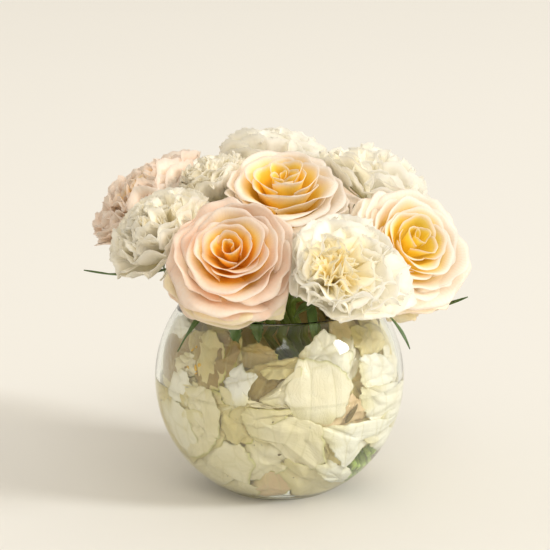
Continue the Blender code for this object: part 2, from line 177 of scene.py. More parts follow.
# The green cup under each bloom, as (radius, height) in metres, from the top down.
ROSE_CUP = ((0, 0), (0.0050, 0.0002), (0.0062, -0.0012), (0.0064, -0.0034), (0.0056, -0.0064),
            (0.0038, -0.0094), (0.0026, -0.0120), (0, -0.0122))
CARNATION_CUP = ((0, 0), (0.0048, 0.0002), (0.0057, -0.0012), (0.0058, -0.0070), (0.0054, -0.0140),
                 (0.0040, -0.0182), (0.0023, -0.0220), (0, -0.0222))
CUP_SIDES = 20
SEPAL_COUNT = 5
SEPAL_LENGTH = 0.026
SEPAL_WIDTH = 0.0046

# A stem starts this far below the top of its cup. Its points run to the neck in the first number of steps and
# from there to the foot in the second, and its cut face is this deep.
STEM_START = 0.007
STEM_STEPS = 24
FOOT_STEPS = 6
CUT_FACE_DEPTH = 0.0004

# Each leaf grows from one bloom's stem. Along is how far down it, as a share of the way to the neck. The
# tip's place, the arch and the width are in metres, and teeth is how many it has on each side.
Leaf = namedtuple("Leaf", "bloom along tip arch width teeth")
LEAVES = [
    Leaf("rose_left", 0.15, (-0.117, -0.010, 0.137), -0.006, 0.0080, 0),
    Leaf("rose_right", 0.25, (0.111, -0.030, 0.1255), -0.012, 0.0080, 0),
    Leaf("carnation_front", 0.10, (0.0740, -0.078, 0.107), 0.009, 0.0034, 0),
    Leaf("rose_front", 0.08, (-0.058, -0.080, 0.106), 0.004, 0.0050, 0),
    Leaf("rose_front", 0.45, (-0.012, -0.055, 0.104), 0.004, 0.0120, 11),
    Leaf("rose_front", 0.40, (-0.025, -0.052, 0.100), 0.006, 0.0105, 10),
    Leaf("carnation_front", 0.50, (0.020, -0.050, 0.103), 0.002, 0.0070, 0),
    Leaf("carnation_front", 0.32, (0.008, -0.062, 0.121), 0.002, 0.0080, 0),
    Leaf("carnation_right", 0.15, (0.100, 0.050, 0.112), -0.006, 0.0055, 0),
    Leaf("carnation_back", 0.15, (-0.072, 0.096, 0.104), -0.008, 0.0055, 0),
    Leaf("rose_back", 0.45, (0.030, 0.046, 0.106), 0.004, 0.0110, 9),
]

# Loose petals that lie against the glass where the photograph shows them: their depth behind the glass in
# millimetres, their tint from white over cream, green and peach to brown, how crumpled they are, the corners
# of their outline, each as the azimuth in degrees and the height in millimetres, and the sheet they use. The
# darkest tints, olive and brown, are painted shade on petals that lie in the flowers' shadow.
LoosePetal = namedtuple("LoosePetal", "depth tint crumple outline sheet", defaults=("front",))
FRONT_PETALS = [
    LoosePetal(2.2, 0.93, 1.0, ((-86, 101), (-58, 105), (-47, 95), (-49, 82), (-63, 69), (-87, 71),
               (-91, 86))),
    LoosePetal(2.8, 0.92, 1.0, ((-53, 105), (-34, 110), (-23, 103), (-25, 89), (-31, 78), (-40, 78),
               (-49, 90))),
    LoosePetal(1.4, 0.46, 0.9, ((-50, 106), (-39, 108), (-31, 101), (-28, 88), (-31, 79), (-39, 78),
               (-44, 89))),
    LoosePetal(1.8, 0.30, 0.8, ((-59, 91), (-51, 95), (-43, 91), (-41, 86), (-50, 82), (-58, 85))),
    LoosePetal(1.0, 0.10, 0.8, ((-86, 104), (-75, 110), (-58, 107), (-66, 99), (-84, 97))),
    LoosePetal(0.6, 0.36, 0.7, ((-17, 65), (-14, 69), (5, 68), (0, 63), (-10, 57), (-15, 60))),
    LoosePetal(3.6, 0.46, 1.2, ((-10, 94), (0, 98), (10, 99), (16, 96), (10, 90), (0, 87), (-7, 88))),
    LoosePetal(5.2, 0.84, 0.8, ((-20, 87), (-11, 94), (1, 91), (2, 81), (-7, 74), (-16, 68), (-23, 75))),
    LoosePetal(0.7, 0.02, 1.0, ((-20, 70), (-25, 74), (-28, 83), (-26, 89), (-20, 94), (-17, 90),
               (-11, 88), (-15, 80), (-15, 74))),
    LoosePetal(1.2, 0.24, 0.9, ((-9, 74), (-2, 81), (4, 88), (10, 93), (9, 83), (6, 76), (4, 70),
               (-3, 72))),
    LoosePetal(0.5, 0.18, 0.5, ((15, 58), (8, 65), (4, 73), (4, 81), (10, 95), (16, 96), (29, 90),
               (34, 82), (32, 72), (29, 65), (22, 59))),
    LoosePetal(2.0, 0.08, 0.8, ((10, 94), (12, 101), (18, 106), (26, 111), (33, 106), (38, 98), (34, 88),
               (29, 89), (16, 95))),
    LoosePetal(4.0, 0.1, 1.0, ((34, 106), (47, 106), (46, 95), (40, 84), (34, 81), (33, 92))),
    LoosePetal(3.6, 0.44, 1.0, ((48, 110), (74, 106), (84, 95), (60, 91), (47, 94), (45, 102))),
    LoosePetal(1.0, 0.03, 0.6, ((42, 85), (43, 91), (49, 94), (60, 91), (70, 82), (69, 75), (57, 73),
               (45, 77))),
    LoosePetal(2.0, 0.12, 1.0, ((93, 96), (90, 85), (87, 73), (77, 68), (69, 83), (74, 93))),
    LoosePetal(1.4, 0.06, 0.9, ((43, 75), (55, 74), (86, 66), (84, 57), (77, 49), (52, 54), (44, 62))),
    LoosePetal(3.2, 0.62, 0.8, ((16, 58), (27, 67), (37, 73), (44, 64), (46, 56), (38, 53), (24, 53))),
    LoosePetal(0.6, 0.0, 0.6, ((18, 57), (29, 56), (44, 55), (81, 49), (60, 45), (47, 39), (39, 27),
               (31, 37), (25, 45))),
    LoosePetal(2.6, 0.46, 1.0, ((19, 56), (27, 46), (40, 28), (31, 27), (23, 34), (19, 44))),
    LoosePetal(1.4, 0.26, 0.8, ((-15, 56), (-13, 66), (0, 65), (16, 60), (20, 49), (22, 34), (18, 29),
               (5, 36), (-2, 47), (-10, 49))),
    LoosePetal(2.2, 0.26, 1.0, ((-14, 50), (-2, 47), (6, 36), (0, 28), (-19, 20), (-22, 31))),
    LoosePetal(2.8, 0.44, 1.0, ((-26, 67), (-15, 73), (-10, 66), (-15, 56), (-13, 49), (-23, 47),
               (-28, 57))),
    LoosePetal(2.0, 0.44, 0.8, ((-60, 26), (-75, 30), (-80, 45), (-84, 57), (-66, 69), (-45, 75),
               (-32, 75), (-26, 67), (-27, 53), (-36, 40))),
    LoosePetal(0.6, 0.3, 0.9, ((-49, 61), (-36, 62), (-31, 53), (-35, 42), (-51, 31), (-63, 33),
               (-56, 50))),
    LoosePetal(1.0, 0.28, 1.0, ((-49, 74), (-37, 78), (-34, 70), (-41, 62), (-48, 64))),
    LoosePetal(0.7, 0.26, 1.0, ((-71, 21), (-51, 31), (-31, 45), (-19, 42), (-15, 34), (-21, 18),
               (-28, 21), (-60, 9), (-66, 15))),
    LoosePetal(1.8, 0.34, 1.0, ((1, 29), (6, 35), (19, 28), (36, 17), (61, 10), (52, 5), (22, 3), (7, 15))),
    LoosePetal(2.0, 0.62, 0.8, ((-22, 13), (-8, 25), (1, 27), (8, 15), (1, 9), (-20, 6))),
    LoosePetal(1.2, 0.3, 1.0, ((-60, 10), (-26, 19), (-15, 12), (-36, 1), (-50, 5))),
    LoosePetal(1.4, 0.02, 0.8, ((19, 31), (31, 32), (48, 21), (50, 13), (30, 19))),
    LoosePetal(3.0, 0.3, 1.0, ((-27, 80), (-16, 74), (-7, 72), (0, 69), (0, 65), (-13, 66), (-26, 67))),
    LoosePetal(3.4, 0.2, 1.0, ((4, 71), (9, 63), (16, 58), (15, 59), (0, 65), (-7, 71))),
    LoosePetal(3.2, 0.42, 1.0, ((-63, 69), (-84, 57), (-86, 67), (-88, 76), (-49, 82), (-38, 78),
               (-49, 74))),
    LoosePetal(3.0, 0.12, 1.0, ((70, 47), (84, 53), (98, 60), (102, 46), (94, 33), (80, 31))),
    LoosePetal(1.6, 0.03, 0.6, ((46, 45), (58, 54), (72, 55), (90, 50), (90, 34), (76, 29), (64, 32),
               (54, 38))),
    LoosePetal(4.4, 0.50, 0.8, ((-34, 44), (-30, 56), (-20, 60), (-10, 54), (-12, 42), (-24, 38))),
    LoosePetal(0.5, 0.16, 0.5, ((-72, 58), (-60, 64), (-50, 62), (-46, 50), (-44, 38), (-56, 34), (-68, 42))),
    LoosePetal(0.6, 0.10, 0.6, ((-62, 82), (-50, 84), (-46, 76), (-52, 66), (-62, 68))),
    LoosePetal(0.8, 0.30, 0.8, ((-44, 78), (-34, 76), (-29, 66), (-30, 52), (-36, 44), (-40, 54), (-46, 66))),
    LoosePetal(8.0, 0.76, 0.6, ((-25, 103), (-13, 107), (-4, 104), (-2, 98), (-12, 93), (-23, 94))),
    LoosePetal(2.4, 0.40, 1.0, ((-84, 34), (-70, 30), (-58, 22), (-50, 10), (-62, 6), (-76, 14), (-86, 24))),
]

# Rings of petals that finish the sides and the back, and the deeper ones that fill behind: how many, the
# height and depth in millimetres, the first azimuth in degrees, and whether it is one of the deeper ones.
PetalRing = namedtuple("PetalRing", "count height depth first deep")
PETAL_RINGS = [
    PetalRing(9, 24, 1.4, 10, False),
    PetalRing(12, 42, 2.0, -12, False),
    PetalRing(12, 62, 1.4, 6, False),
    PetalRing(12, 80, 2.4, 20, False),
    PetalRing(10, 98, 1.8, 0, False),
    PetalRing(10, 26, 6.0, 0, True),
    PetalRing(12, 45, 7.0, 18, True),
    PetalRing(12, 66, 7.6, 0, True),
    PetalRing(12, 86, 6.6, 18, True),
    PetalRing(9, 102, 6.0, 0, True),
]

# The bowl's middle and the inner radius of its glass in millimetres, for the rings.
RING_MIDDLE = 68
RING_RADIUS = 73

# The plain outline of a petal in a ring, as (across, along).
EGG = ((-0.35, -1.0), (-0.85, -0.35), (-1.0, 0.3), (-0.7, 0.85), (0.0, 1.05), (0.7, 0.85), (1.0, 0.3),
       (0.85, -0.35), (0.35, -1.0))

# A ring has no petal at the front, where the petals above lie, over the stems' foot, and where the stems pass
# the neck. Azimuths are in degrees and heights in millimetres.
FRONT_LIMIT = 92
CLEAR_AZIMUTH = (36, 82)
CLEAR_TOP = 46
NECK_MIDDLE = 2
NECK_AZIMUTH = 27
NECK_BOTTOM = 76

# How near to the glass and how deep behind it a loose petal lies, the corners of its edge, and the heights in
# millimetres at which one layer of petals gives way to the next.
LOOSE_NEAREST = 0.0005
LOOSE_DEEPEST = 0.0120
OUTLINE_STEPS = 128
LOW_LAYER_TOP = 41
MIDDLE_LAYER_TOP = 71

# Small dark seeds and yellow stamens on the loose petals: azimuth in degrees, height in millimetres, half
# length and half width in metres, and the turn in degrees.
Fleck = namedtuple("Fleck", "azimuth height length width turn")
FLECKS = [
    Fleck(0, 41, 0.0012, 0.0007, 80), Fleck(-3, 62, 0.0007, 0.0004, 20), Fleck(-22, 34, 0.0008, 0.0004, 60),
    Fleck(-47, 49, 0.0009, 0.0003, 0), Fleck(-72, 60, 0.0008, 0.0004, 45), Fleck(-60, 88, 0.0009, 0.0004, 90),
    Fleck(24, 33, 0.0006, 0.0004, 10), Fleck(8, 24, 0.0007, 0.0003, 30), Fleck(33, 30, 0.0006, 0.0005, 70),
    Fleck(-12, 47, 0.0004, 0.0003, 15), Fleck(14, 58, 0.0004, 0.0003, 50), Fleck(-36, 44, 0.0005, 0.0003, 35),
]
SEPAL_TIP = Fleck(35, 63, 0.0064, 0.0019, 40)
STAMENS = [
    Fleck(-49, 97, 0.0015, 0.0005, 35), Fleck(-44, 88, 0.0021, 0.0010, -25),
    Fleck(-41.5, 90, 0.0018, 0.0013, 80), Fleck(-49, 87, 0.0013, 0.0006, 120),
    Fleck(-47, 99, 0.0009, 0.0005, 10), Fleck(-43, 85, 0.0011, 0.0004, 60),
]
BUBBLE_COUNT = 46

# How strongly light bends on its way into glass, into water, and from water into an air bubble.
GLASS_BENDS = 1.5
WATER_BENDS = 1.333
BUBBLE_BENDS = 0.75

# The photograph's view: a long lens a little above the bowl.
CAMERA_TILT = math.radians(13.5)
CAMERA_TARGET = Vector((-0.0027, 0, 0.1316))
CAMERA_DISTANCE = 1.2
CAMERA_LENS = 130.06

# Two soft lamps that look at the middle of the arrangement, and the sky.
Lamp = namedtuple("Lamp", "azimuth elevation distance size power colour")
LAMPS = [
    Lamp(71, 30, 14.0, 2.60, 1080, (1.0, 1.0, 0.99)),
    Lamp(10, 55, 12.0, 6.00, 240, (1.0, 0.975, 0.93)),
]
LAMP_TARGET = Vector((0, 0, 0.11))
SKY_COLOUR = (1.0, 0.935, 0.835, 1)
SKY_STRENGTH = 0.80


def srgb(red, green, blue):
    """A colour from the values that a paint shop would quote, as Blender's linear ones."""
    def linear(value):
        part = value / 255
        return part / 12.92 if part <= 0.04045 else ((part + 0.055) / 1.055) ** 2.4

    return linear(red), linear(green), linear(blue)


class ArrangementSizes(bpy.types.PropertyGroup):
    """The sizes that a maker of another bowl of flowers would change."""

    bowl_radius: bpy.props.FloatProperty(
        name="Bowl Radius", description="Outer radius of the round bowl", default=0.076, unit="LENGTH")
    glass_wall: bpy.props.FloatProperty(
        name="Glass Wall", description="Thickness of the bowl's wall", default=0.003, unit="LENGTH")
    glass_floor: bpy.props.FloatProperty(
        name="Glass Floor", description="Thickness of the glass under the water", default=0.006,
        unit="LENGTH")
    mouth_radius: bpy.props.FloatProperty(
        name="Mouth Radius", description="Radius of the bowl's open mouth", default=0.059, unit="LENGTH")
    water_level: bpy.props.FloatProperty(
        name="Water Level", description="Height of the water above the table", default=0.070, unit="LENGTH")
    rose_petals: bpy.props.IntProperty(
        name="Rose Petals", description="Petals in each rose", default=25, min=8, max=60)
    carnation_petals: bpy.props.IntProperty(
        name="Carnation Petals", description="Petals in each carnation", default=54, min=10, max=80)
    rose_blade: bpy.props.FloatProperty(
        name="Rose Petal Thickness", description="Thickness of a rose petal", default=0.00032, unit="LENGTH")
    carnation_blade: bpy.props.FloatProperty(
        name="Carnation Petal Thickness", description="Thickness of a carnation petal", default=0.00030,
        unit="LENGTH")
    loose_blade: bpy.props.FloatProperty(
        name="Loose Petal Thickness", description="Thickness of a loose petal", default=0.00040,
        unit="LENGTH")
    leaf_blade: bpy.props.FloatProperty(
        name="Leaf Thickness", description="Thickness of a leaf", default=0.00050, unit="LENGTH")


class ArrangementColours(bpy.types.PropertyGroup):
    """The colours that a maker of another bowl of flowers would change."""

    rose_heart: bpy.props.FloatVectorProperty(
        name="Rose Heart", description="Deep inside the rose", subtype="COLOR", default=srgb(255, 206, 56))
    rose_middle: bpy.props.FloatVectorProperty(
        name="Rose Middle", description="Between heart and rim", subtype="COLOR", default=srgb(253, 224, 128))
    rose_rim: bpy.props.FloatVectorProperty(
        name="Rose Rim", description="The pale rim of a rose petal", subtype="COLOR",
        default=srgb(252, 243, 228))
    # The rose blush colour is a pink cast, darkened so that it also paints shade on the roses that stand in
    # shade.
    rose_blush_and_shade: bpy.props.FloatVectorProperty(
        name="Rose Blush", description="The pink cast on a rose", subtype="COLOR",
        default=srgb(238, 198, 166))
    rose_guard: bpy.props.FloatVectorProperty(
        name="Rose Guard", description="The greenish outermost petals", subtype="COLOR",
        default=srgb(244, 236, 202))
    carnation_white: bpy.props.FloatVectorProperty(
        name="Carnation White", description="The ruffled rims", subtype="COLOR", default=srgb(255, 253, 246))
    # The carnation depth colour is the roots' own greenish yellow, made darker and warmer as painted shade
    # deep in the bloom.
    carnation_depth: bpy.props.FloatVectorProperty(
        name="Carnation Depth", description="The roots of the ruffles", subtype="COLOR",
        default=srgb(242, 232, 186))
    carnation_eye: bpy.props.FloatVectorProperty(
        name="Carnation Eye", description="The yellow middle of the front one", subtype="COLOR",
        default=srgb(255, 238, 166))
    stem_green: bpy.props.FloatVectorProperty(
        name="Stem Green", description="Stems and cups", subtype="COLOR", default=srgb(112, 136, 54))
    leaf_green: bpy.props.FloatVectorProperty(
        name="Leaf Green", description="Leaves", subtype="COLOR", default=srgb(72, 98, 40))
    cut_green: bpy.props.FloatVectorProperty(
        name="Cut Green", description="The fresh cut ends", subtype="COLOR", default=srgb(176, 200, 96))
    floor_cream: bpy.props.FloatVectorProperty(
        name="Floor Cream", description="The table and backdrop", subtype="COLOR",
        default=srgb(230, 228, 222))


def sizes():
    return bpy.context.scene.arrangement_sizes


def colours():
    return bpy.context.scene.arrangement_colours


def ratio_of(bloom):
    return ROSE_DEPTH if bloom.kind == "rose" else CARNATION_DEPTH


def direction(azimuth, elevation):
    a, e = math.radians(azimuth), math.radians(elevation)
    return Vector((math.sin(a) * math.cos(e), -math.cos(a) * math.cos(e), math.sin(e)))


def base_of(bloom):
    """The top of the bloom's green cup."""
    return Vector(bloom.face) - direction(bloom.azimuth, bloom.elevation) * bloom.radius * ratio_of(bloom)


def site_of(bloom):
    """The middle of the bloom's head, which its neighbours' sides are measured from."""
    depth = bloom.radius * ratio_of(bloom)
    return Vector(bloom.face) - direction(bloom.azimuth, bloom.elevation) * depth * HEAD_MIDDLE


def rotation_of(bloom):
    upright = Vector((0, 0, 1)).rotation_difference(direction(bloom.azimuth, bloom.elevation))
    return upright @ Quaternion((0, 0, 1), math.radians(bloom.turn))


def set_in_place(points, bloom):
    """Moves points from the bloom's own axes to where the bloom stands."""
    spin = np.array(rotation_of(bloom).to_matrix())
    return points @ spin.T + np.array(base_of(bloom))


def eased(distance, start, limit):
    """Distances from a wall, eased so that none falls below the limit."""
    room = start - limit
    near = limit + room * np.exp(np.minimum((distance - start) / room, 0))
    return np.where(distance >= start, distance, near)


def bend_clear(places, bloom, press):
    """Bends the points of a petal back from the neighbouring blooms and from the glass.

    The wall to a neighbour stands across the line between both heads, nearer to the smaller one.
    """
    own = site_of(bloom)
    centre = np.array(BOWL_CENTRE)
    for _ in range(BEND_ROUNDS):
        for other in BLOOMS:
            if other is bloom:
                continue
            away = site_of(other) - own
            wall = np.array(own + away * bloom.radius / (bloom.radius + other.radius))
            away = np.array(away.normalized())
            distance = (wall - places) @ away
            places = places - np.outer(eased(distance, BEND_START, -press) - distance, away)
        out = places - centre
        length = np.linalg.norm(out, axis=1)
        height = eased(length - sizes().bowl_radius, GLASS_START, GLASS_LIMIT)
        places = centre + out * ((sizes().bowl_radius + height) / length)[:, None]
    return places


def curve_point(control, t):
    """A point of the cubic curve with these four control points."""
    s = 1 - t
    weights = (s ** 3, 3 * s * s * t, 3 * s * t * t, t ** 3)
    return tuple(sum(w * c[k] for w, c in zip(weights, control)) for k in range(len(control[0])))


def curve_points(control, t):
    """Points and unit slopes of the cubic curve with these four control points, for an array of t."""
    c = np.array(control)
    s, t = 1 - t[:, None], t[:, None]
    points = s ** 3 * c[0] + 3 * s * s * t * c[1] + 3 * s * t * t * c[2] + t ** 3 * c[3]
    slopes = s * s * (c[1] - c[0]) + 2 * s * t * (c[2] - c[1]) + t * t * (c[3] - c[2])
    return points, slopes / np.linalg.norm(slopes, axis=1)[:, None]


def profile_at(profiles, age):
    """The petal profile for this age, between the two nearest ones given."""
    for (low, first), (high, second) in zip(profiles, profiles[1:]):
        if age <= high:
            part = (age - low) / (high - low)
            return np.array(first) * (1 - part) + np.array(second) * part
    return np.array(profiles[-1][1])


def deselect_all():
    bpy.ops.object.select_all(action="DESELECT")


def take(piece):
    """Selects this piece alone and makes it the active one."""
    deselect_all()
    piece.select_set(True)
    bpy.context.view_layer.objects.active = piece


def flat_sheet(columns, rows):
    """One flat sheet that petals or leaves are shaped from. Its UV map runs across and from root to rim."""
    deselect_all()
    bpy.ops.mesh.primitive_grid_add(x_subdivisions=columns, y_subdivisions=rows, size=2, location=(0, 0, 0))
    return bpy.context.object


def sheet_marks(sheet):
    """For each corner of the flat sheet, u from -1 to 1 across and v from 0 to 1 along."""
    corners = np.empty(len(sheet.data.vertices) * 3, dtype=np.float32)
    sheet.data.vertices.foreach_get("co", corners)
    corners = corners.reshape(-1, 3).astype(float)
    return corners[:, 0], (corners[:, 1] + 1) / 2


def shaped_copy(sheet, points, **marks):
    """A copy of the flat sheet with its corners at the points, and with one value of each mark."""
    petal = sheet.copy()
    petal.data = sheet.data.copy()
    bpy.context.collection.objects.link(petal)
    petal.data.vertices.foreach_set("co", points.astype(np.float32).ravel())
    for mark, value in marks.items():
        layer = petal.data.attributes.new(mark, "FLOAT", "POINT")
        layer.data.foreach_set("value", np.full(len(points), value, dtype=np.float32))
    return petal


def joined(name, parts):
    """Joins the parts into one object of this name."""
    deselect_all()
    for part in parts:
        part.select_set(True)
    bpy.context.view_layer.objects.active = parts[0]
    if len(parts) > 1:
        bpy.ops.object.join()
    parts[0].name = name
    parts[0].data.name = name
    return parts[0]


def thickened(piece, thickness):
    """Gives a sheet its thickness, half to each side. The inner faces take the last of its materials."""
    take(piece)
    bpy.ops.object.modifier_add(type="SOLIDIFY")
    solidify = piece.modifiers[-1]
    solidify.thickness = thickness
    solidify.offset = 0
    solidify.material_offset = max(len(piece.data.materials) - 1, 0)
    bpy.ops.object.modifier_apply(modifier=solidify.name)
    bpy.ops.object.shade_smooth()
    return piece


def remove(thing):
    bpy.data.objects.remove(thing)


def give_materials(piece, finishes):
    piece.data.materials.clear()
    for finish in finishes:
        piece.data.materials.append(finish)


def dress(piece, slot, *finishes):
    """Gives a finished piece its materials and its body. Its slot is not used."""
    give_materials(piece, finishes)
    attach(piece, "root")
    return piece


def turned(name, profile, sides):
    """A closed body of revolution. Its (radius, height) profile is drawn point by point, then spun."""
    deselect_all()
    radius, height = profile[0]
    bpy.ops.mesh.primitive_plane_add(size=0.001, location=(0, 0, 0))
    piece = bpy.context.object
    bpy.ops.object.mode_set(mode="EDIT")
    bpy.ops.mesh.merge(type="CENTER")
    bpy.ops.transform.translate(value=(radius, 0, height))
    for (r0, z0), (r1, z1) in zip(profile, profile[1:]):
        bpy.ops.mesh.extrude_region_move(TRANSFORM_OT_translate={"value": (r1 - r0, 0, z1 - z0)})
    bpy.ops.mesh.select_all(action="SELECT")
    bpy.ops.mesh.spin(steps=sides, angle=2 * math.pi, center=(0, 0, 0), axis=(0, 0, 1))
    bpy.ops.mesh.select_all(action="SELECT")
    bpy.ops.mesh.remove_doubles(threshold=MERGE_DISTANCE)
    bpy.ops.mesh.normals_make_consistent(inside=False)
    bpy.ops.object.mode_set(mode="OBJECT")
    bpy.ops.object.shade_smooth()
    piece.name = name
    piece.data.name = name
    return piece


def arc(radius, low_angle, high_angle, steps):
    """Points of a circle round the bowl's centre, as (radius, height), between two angles of elevation."""
    turns = [low_angle + (high_angle - low_angle) * k / steps for k in range(steps + 1)]
    return [(radius * math.cos(t), BOWL_HEIGHT + radius * math.sin(t)) for t in turns]


# Materials

def new_material(name):
    """A new material with an empty tree but for its output and a Principled shader."""
    made = bpy.data.materials.new(name)
    made.use_nodes = True
    return made, made.node_tree, made.node_tree.nodes["Principled BSDF"]


def add(tree, kind, **settings):
    node = tree.nodes.new(kind)
    for setting, value in settings.items():
        setattr(node, setting, value)
    return node


def connect(tree, source, target):
    tree.links.new(source, target)


def feed(tree, value, socket):
    """Gives an input its value: another socket, a number, or a colour of three numbers."""
    if isinstance(value, bpy.types.NodeSocket):
        connect(tree, value, socket)
    elif isinstance(value, (int, float)):
        socket.default_value = value
    else:
        socket.default_value = (*value, 1)


def maths(tree, operation, first, second=None, clamp=False):
    """A Math node. Each input is a socket or a number."""
    node = add(tree, "ShaderNodeMath", operation=operation, use_clamp=clamp)
    feed(tree, first, node.inputs[0])
    if second is not None:
        feed(tree, second, node.inputs[1])
    return node.outputs[0]


def past(tree, value, start, slope, clamp=True):
    """How far the value lies past the start, times the slope, clamped to 0 and 1 or not."""
    return maths(tree, "MULTIPLY", maths(tree, "SUBTRACT", value, start), slope, clamp=clamp)


def short_of(tree, value, end, slope, clamp=True):
    """How far the value falls short of the end, times the slope, clamped to 0 and 1 or not."""
    return maths(tree, "MULTIPLY", maths(tree, "SUBTRACT", end, value), slope, clamp=clamp)


def blended(tree, factor, first, second):
    """A colour Mix node. Each colour is a socket or three numbers."""
    node = add(tree, "ShaderNodeMix", data_type="RGBA")
    for number, value in ((0, factor), (6, first), (7, second)):
        feed(tree, value, node.inputs[number])
    return node.outputs[2]


def object_place(tree):
    return add(tree, "ShaderNodeTexCoord").outputs["Object"]


def split_place(tree, place):
    """The X, Y and Z of a place."""
    parts = add(tree, "ShaderNodeSeparateXYZ")
    connect(tree, place, parts.inputs[0])
    return parts.outputs


def noise_at(tree, place, scale, detail=2):
    """Soft noise over the given coordinates. The scale is a socket or a number."""
    noise = add(tree, "ShaderNodeTexNoise")
    connect(tree, place, noise.inputs["Vector"])
    noise.inputs["Detail"].default_value = detail
    feed(tree, scale, noise.inputs["Scale"])
    return noise.outputs["Fac"]


def bump_from(tree, shader, height, distance, strength=1.0):
    """Feeds the shader's normal from a height, and returns that normal."""
    relief = add(tree, "ShaderNodeBump")
    relief.inputs["Distance"].default_value = distance
    relief.inputs["Strength"].default_value = strength
    connect(tree, height, relief.inputs["Height"])
    connect(tree, relief.outputs["Normal"], shader.inputs["Normal"])
    return relief.outputs["Normal"]


def mixed_shader(tree, factor, first, second):
    """A Mix Shader node. The factor is a socket or a number."""
    node = add(tree, "ShaderNodeMixShader")
    feed(tree, factor, node.inputs[0])
    connect(tree, first.outputs[0], node.inputs[1])
    connect(tree, second.outputs[0], node.inputs[2])
    return node


def mark(tree, name):
    return add(tree, "ShaderNodeAttribute", attribute_name=name).outputs["Fac"]


def ramp(tree, factor, stops):
    """A colour ramp through (place, colour) stops."""
    node = add(tree, "ShaderNodeValToRGB")
    elements = node.color_ramp.elements
    while len(elements) < len(stops):
        elements.new(0.5)
    for element, (place, colour) in zip(elements, stops):
        element.position = place
        element.color = (*colour, 1)
    connect(tree, factor, node.inputs["Fac"])
    return node.outputs["Color"]


def shared_group(name, inputs, outputs, fill):
    """The shader group of this name. The first call makes it, with what fill returns for its outputs."""
    tree = bpy.data.node_groups.get(name)
    if tree is None:
        tree = bpy.data.node_groups.new(name, "ShaderNodeTree")
        for in_out, sockets in (("INPUT", inputs), ("OUTPUT", outputs)):
            for socket in sockets:
                tree.interface.new_socket(socket, in_out=in_out, socket_type="NodeSocketFloat")
        given = add(tree, "NodeGroupInput").outputs
        result = add(tree, "NodeGroupOutput").inputs
        for socket, source in zip(outputs, fill(tree, given)):
            connect(tree, source, result[socket])
    return tree


def fill_veins(tree, given):
    """Fine veins that fan out from a petal's root, and a crinkle for the bump."""
    place = add(tree, "ShaderNodeUVMap", uv_map="UVMap").outputs["UV"]
    across = maths(tree, "SUBTRACT", split_place(tree, place)["X"], 0.5)
    shift = maths(tree, "SUBTRACT", noise_at(tree, place, 5, 3), 0.5)
    bent = maths(tree, "MULTIPLY", shift, given["Wander"])
    phase = maths(tree, "MULTIPLY", maths(tree, "ADD", across, bent), given["Count"])
    wave = maths(tree, "SINE", maths(tree, "MULTIPLY", phase, 2 * math.pi))
    veins = maths(tree, "POWER", maths(tree, "ABSOLUTE", wave), 0.35)
    grain = maths(tree, "MULTIPLY", noise_at(tree, object_place(tree), 900, 3), 0.7)
    crinkle = maths(tree, "ADD", maths(tree, "MULTIPLY", veins, 0.6), grain)
    return veins, crinkle


def vein_group():
    return shared_group("petal_veins", ("Count", "Wander"), ("Veins", "Crinkle"), fill_veins)


def fill_patches(tree, given):
    """Soft patches over the whole piece, the way along each petal, and a mask for its outer rim."""
    noise = noise_at(tree, object_place(tree), given["Scale"], 4)
    place = split_place(tree, add(tree, "ShaderNodeUVMap", uv_map="UVMap").outputs["UV"])
    off_middle = maths(tree, "ABSOLUTE", maths(tree, "SUBTRACT", place["X"], 0.5))
    side = maths(tree, "MULTIPLY", off_middle, 2)
    edge = maths(tree, "MAXIMUM", maths(tree, "POWER", side, 3), place["Y"])
    return past(tree, noise, 0.35, 3), place["Y"], past(tree, edge, 0.94, 16)


def patch_group():
    return shared_group("petal_patches", ("Scale",), ("Patches", "Along", "Rim"), fill_patches)


def fill_creases(tree, given):
    """Straight creases of a crumpled petal, as a height for the bump and as thin lines."""
    slanted = add(tree, "ShaderNodeMapping")
    slanted.inputs["Rotation"].default_value = (0.6, 0.3, 0.8)
    slanted.inputs["Scale"].default_value = (1.35, 1.2, 0.42)
    connect(tree, object_place(tree), slanted.inputs["Vector"])
    cells = add(tree, "ShaderNodeTexVoronoi", feature="DISTANCE_TO_EDGE")
    connect(tree, slanted.outputs["Vector"], cells.inputs["Vector"])
    connect(tree, given["Scale"], cells.inputs["Scale"])
    folds = maths(tree, "MULTIPLY", cells.outputs["Distance"], 1.0, clamp=True)
    lines = maths(tree, "SUBTRACT", 1, maths(tree, "MULTIPLY", cells.outputs["Distance"], 18), clamp=True)
    return folds, lines


def crease_group():
    return shared_group("petal_creases", ("Scale",), ("Folds", "Lines"), fill_creases)


def use_group(tree, group, **values):
    """The outputs of a group node with these values."""
    node = add(tree, "ShaderNodeGroup", node_tree=group)
    for name, value in values.items():
        node.inputs[name].default_value = value
    return node.outputs


def finish_petal(tree, shader, colour, crinkle, roughness, bump, glow, clearness):
    """What all petals share: a satin face, a fine crinkle, and light that shines through the blade."""
    connect(tree, colour, shader.inputs["Base Color"])
    shader.inputs["Roughness"].default_value = roughness
    shader.inputs["Sheen Weight"].default_value = 0.08
    normal = bump_from(tree, shader, crinkle, bump, 0.6)
    back = add(tree, "ShaderNodeBsdfTranslucent")
    connect(tree, colour, back.inputs["Color"])
    connect(tree, normal, back.inputs["Normal"])
    veil = add(tree, "ShaderNodeBsdfTransparent")
    connect(tree, blended(tree, 0.5, colour, (1, 1, 1)), veil.inputs["Color"])
    shadow = add(tree, "ShaderNodeLightPath").outputs["Is Shadow Ray"]
    body = mixed_shader(tree, glow, shader, back)
    surface = mixed_shader(tree, maths(tree, "MULTIPLY", shadow, clearness), body, veil)
    connect(tree, surface.outputs[0], tree.nodes["Material Output"].inputs["Surface"])


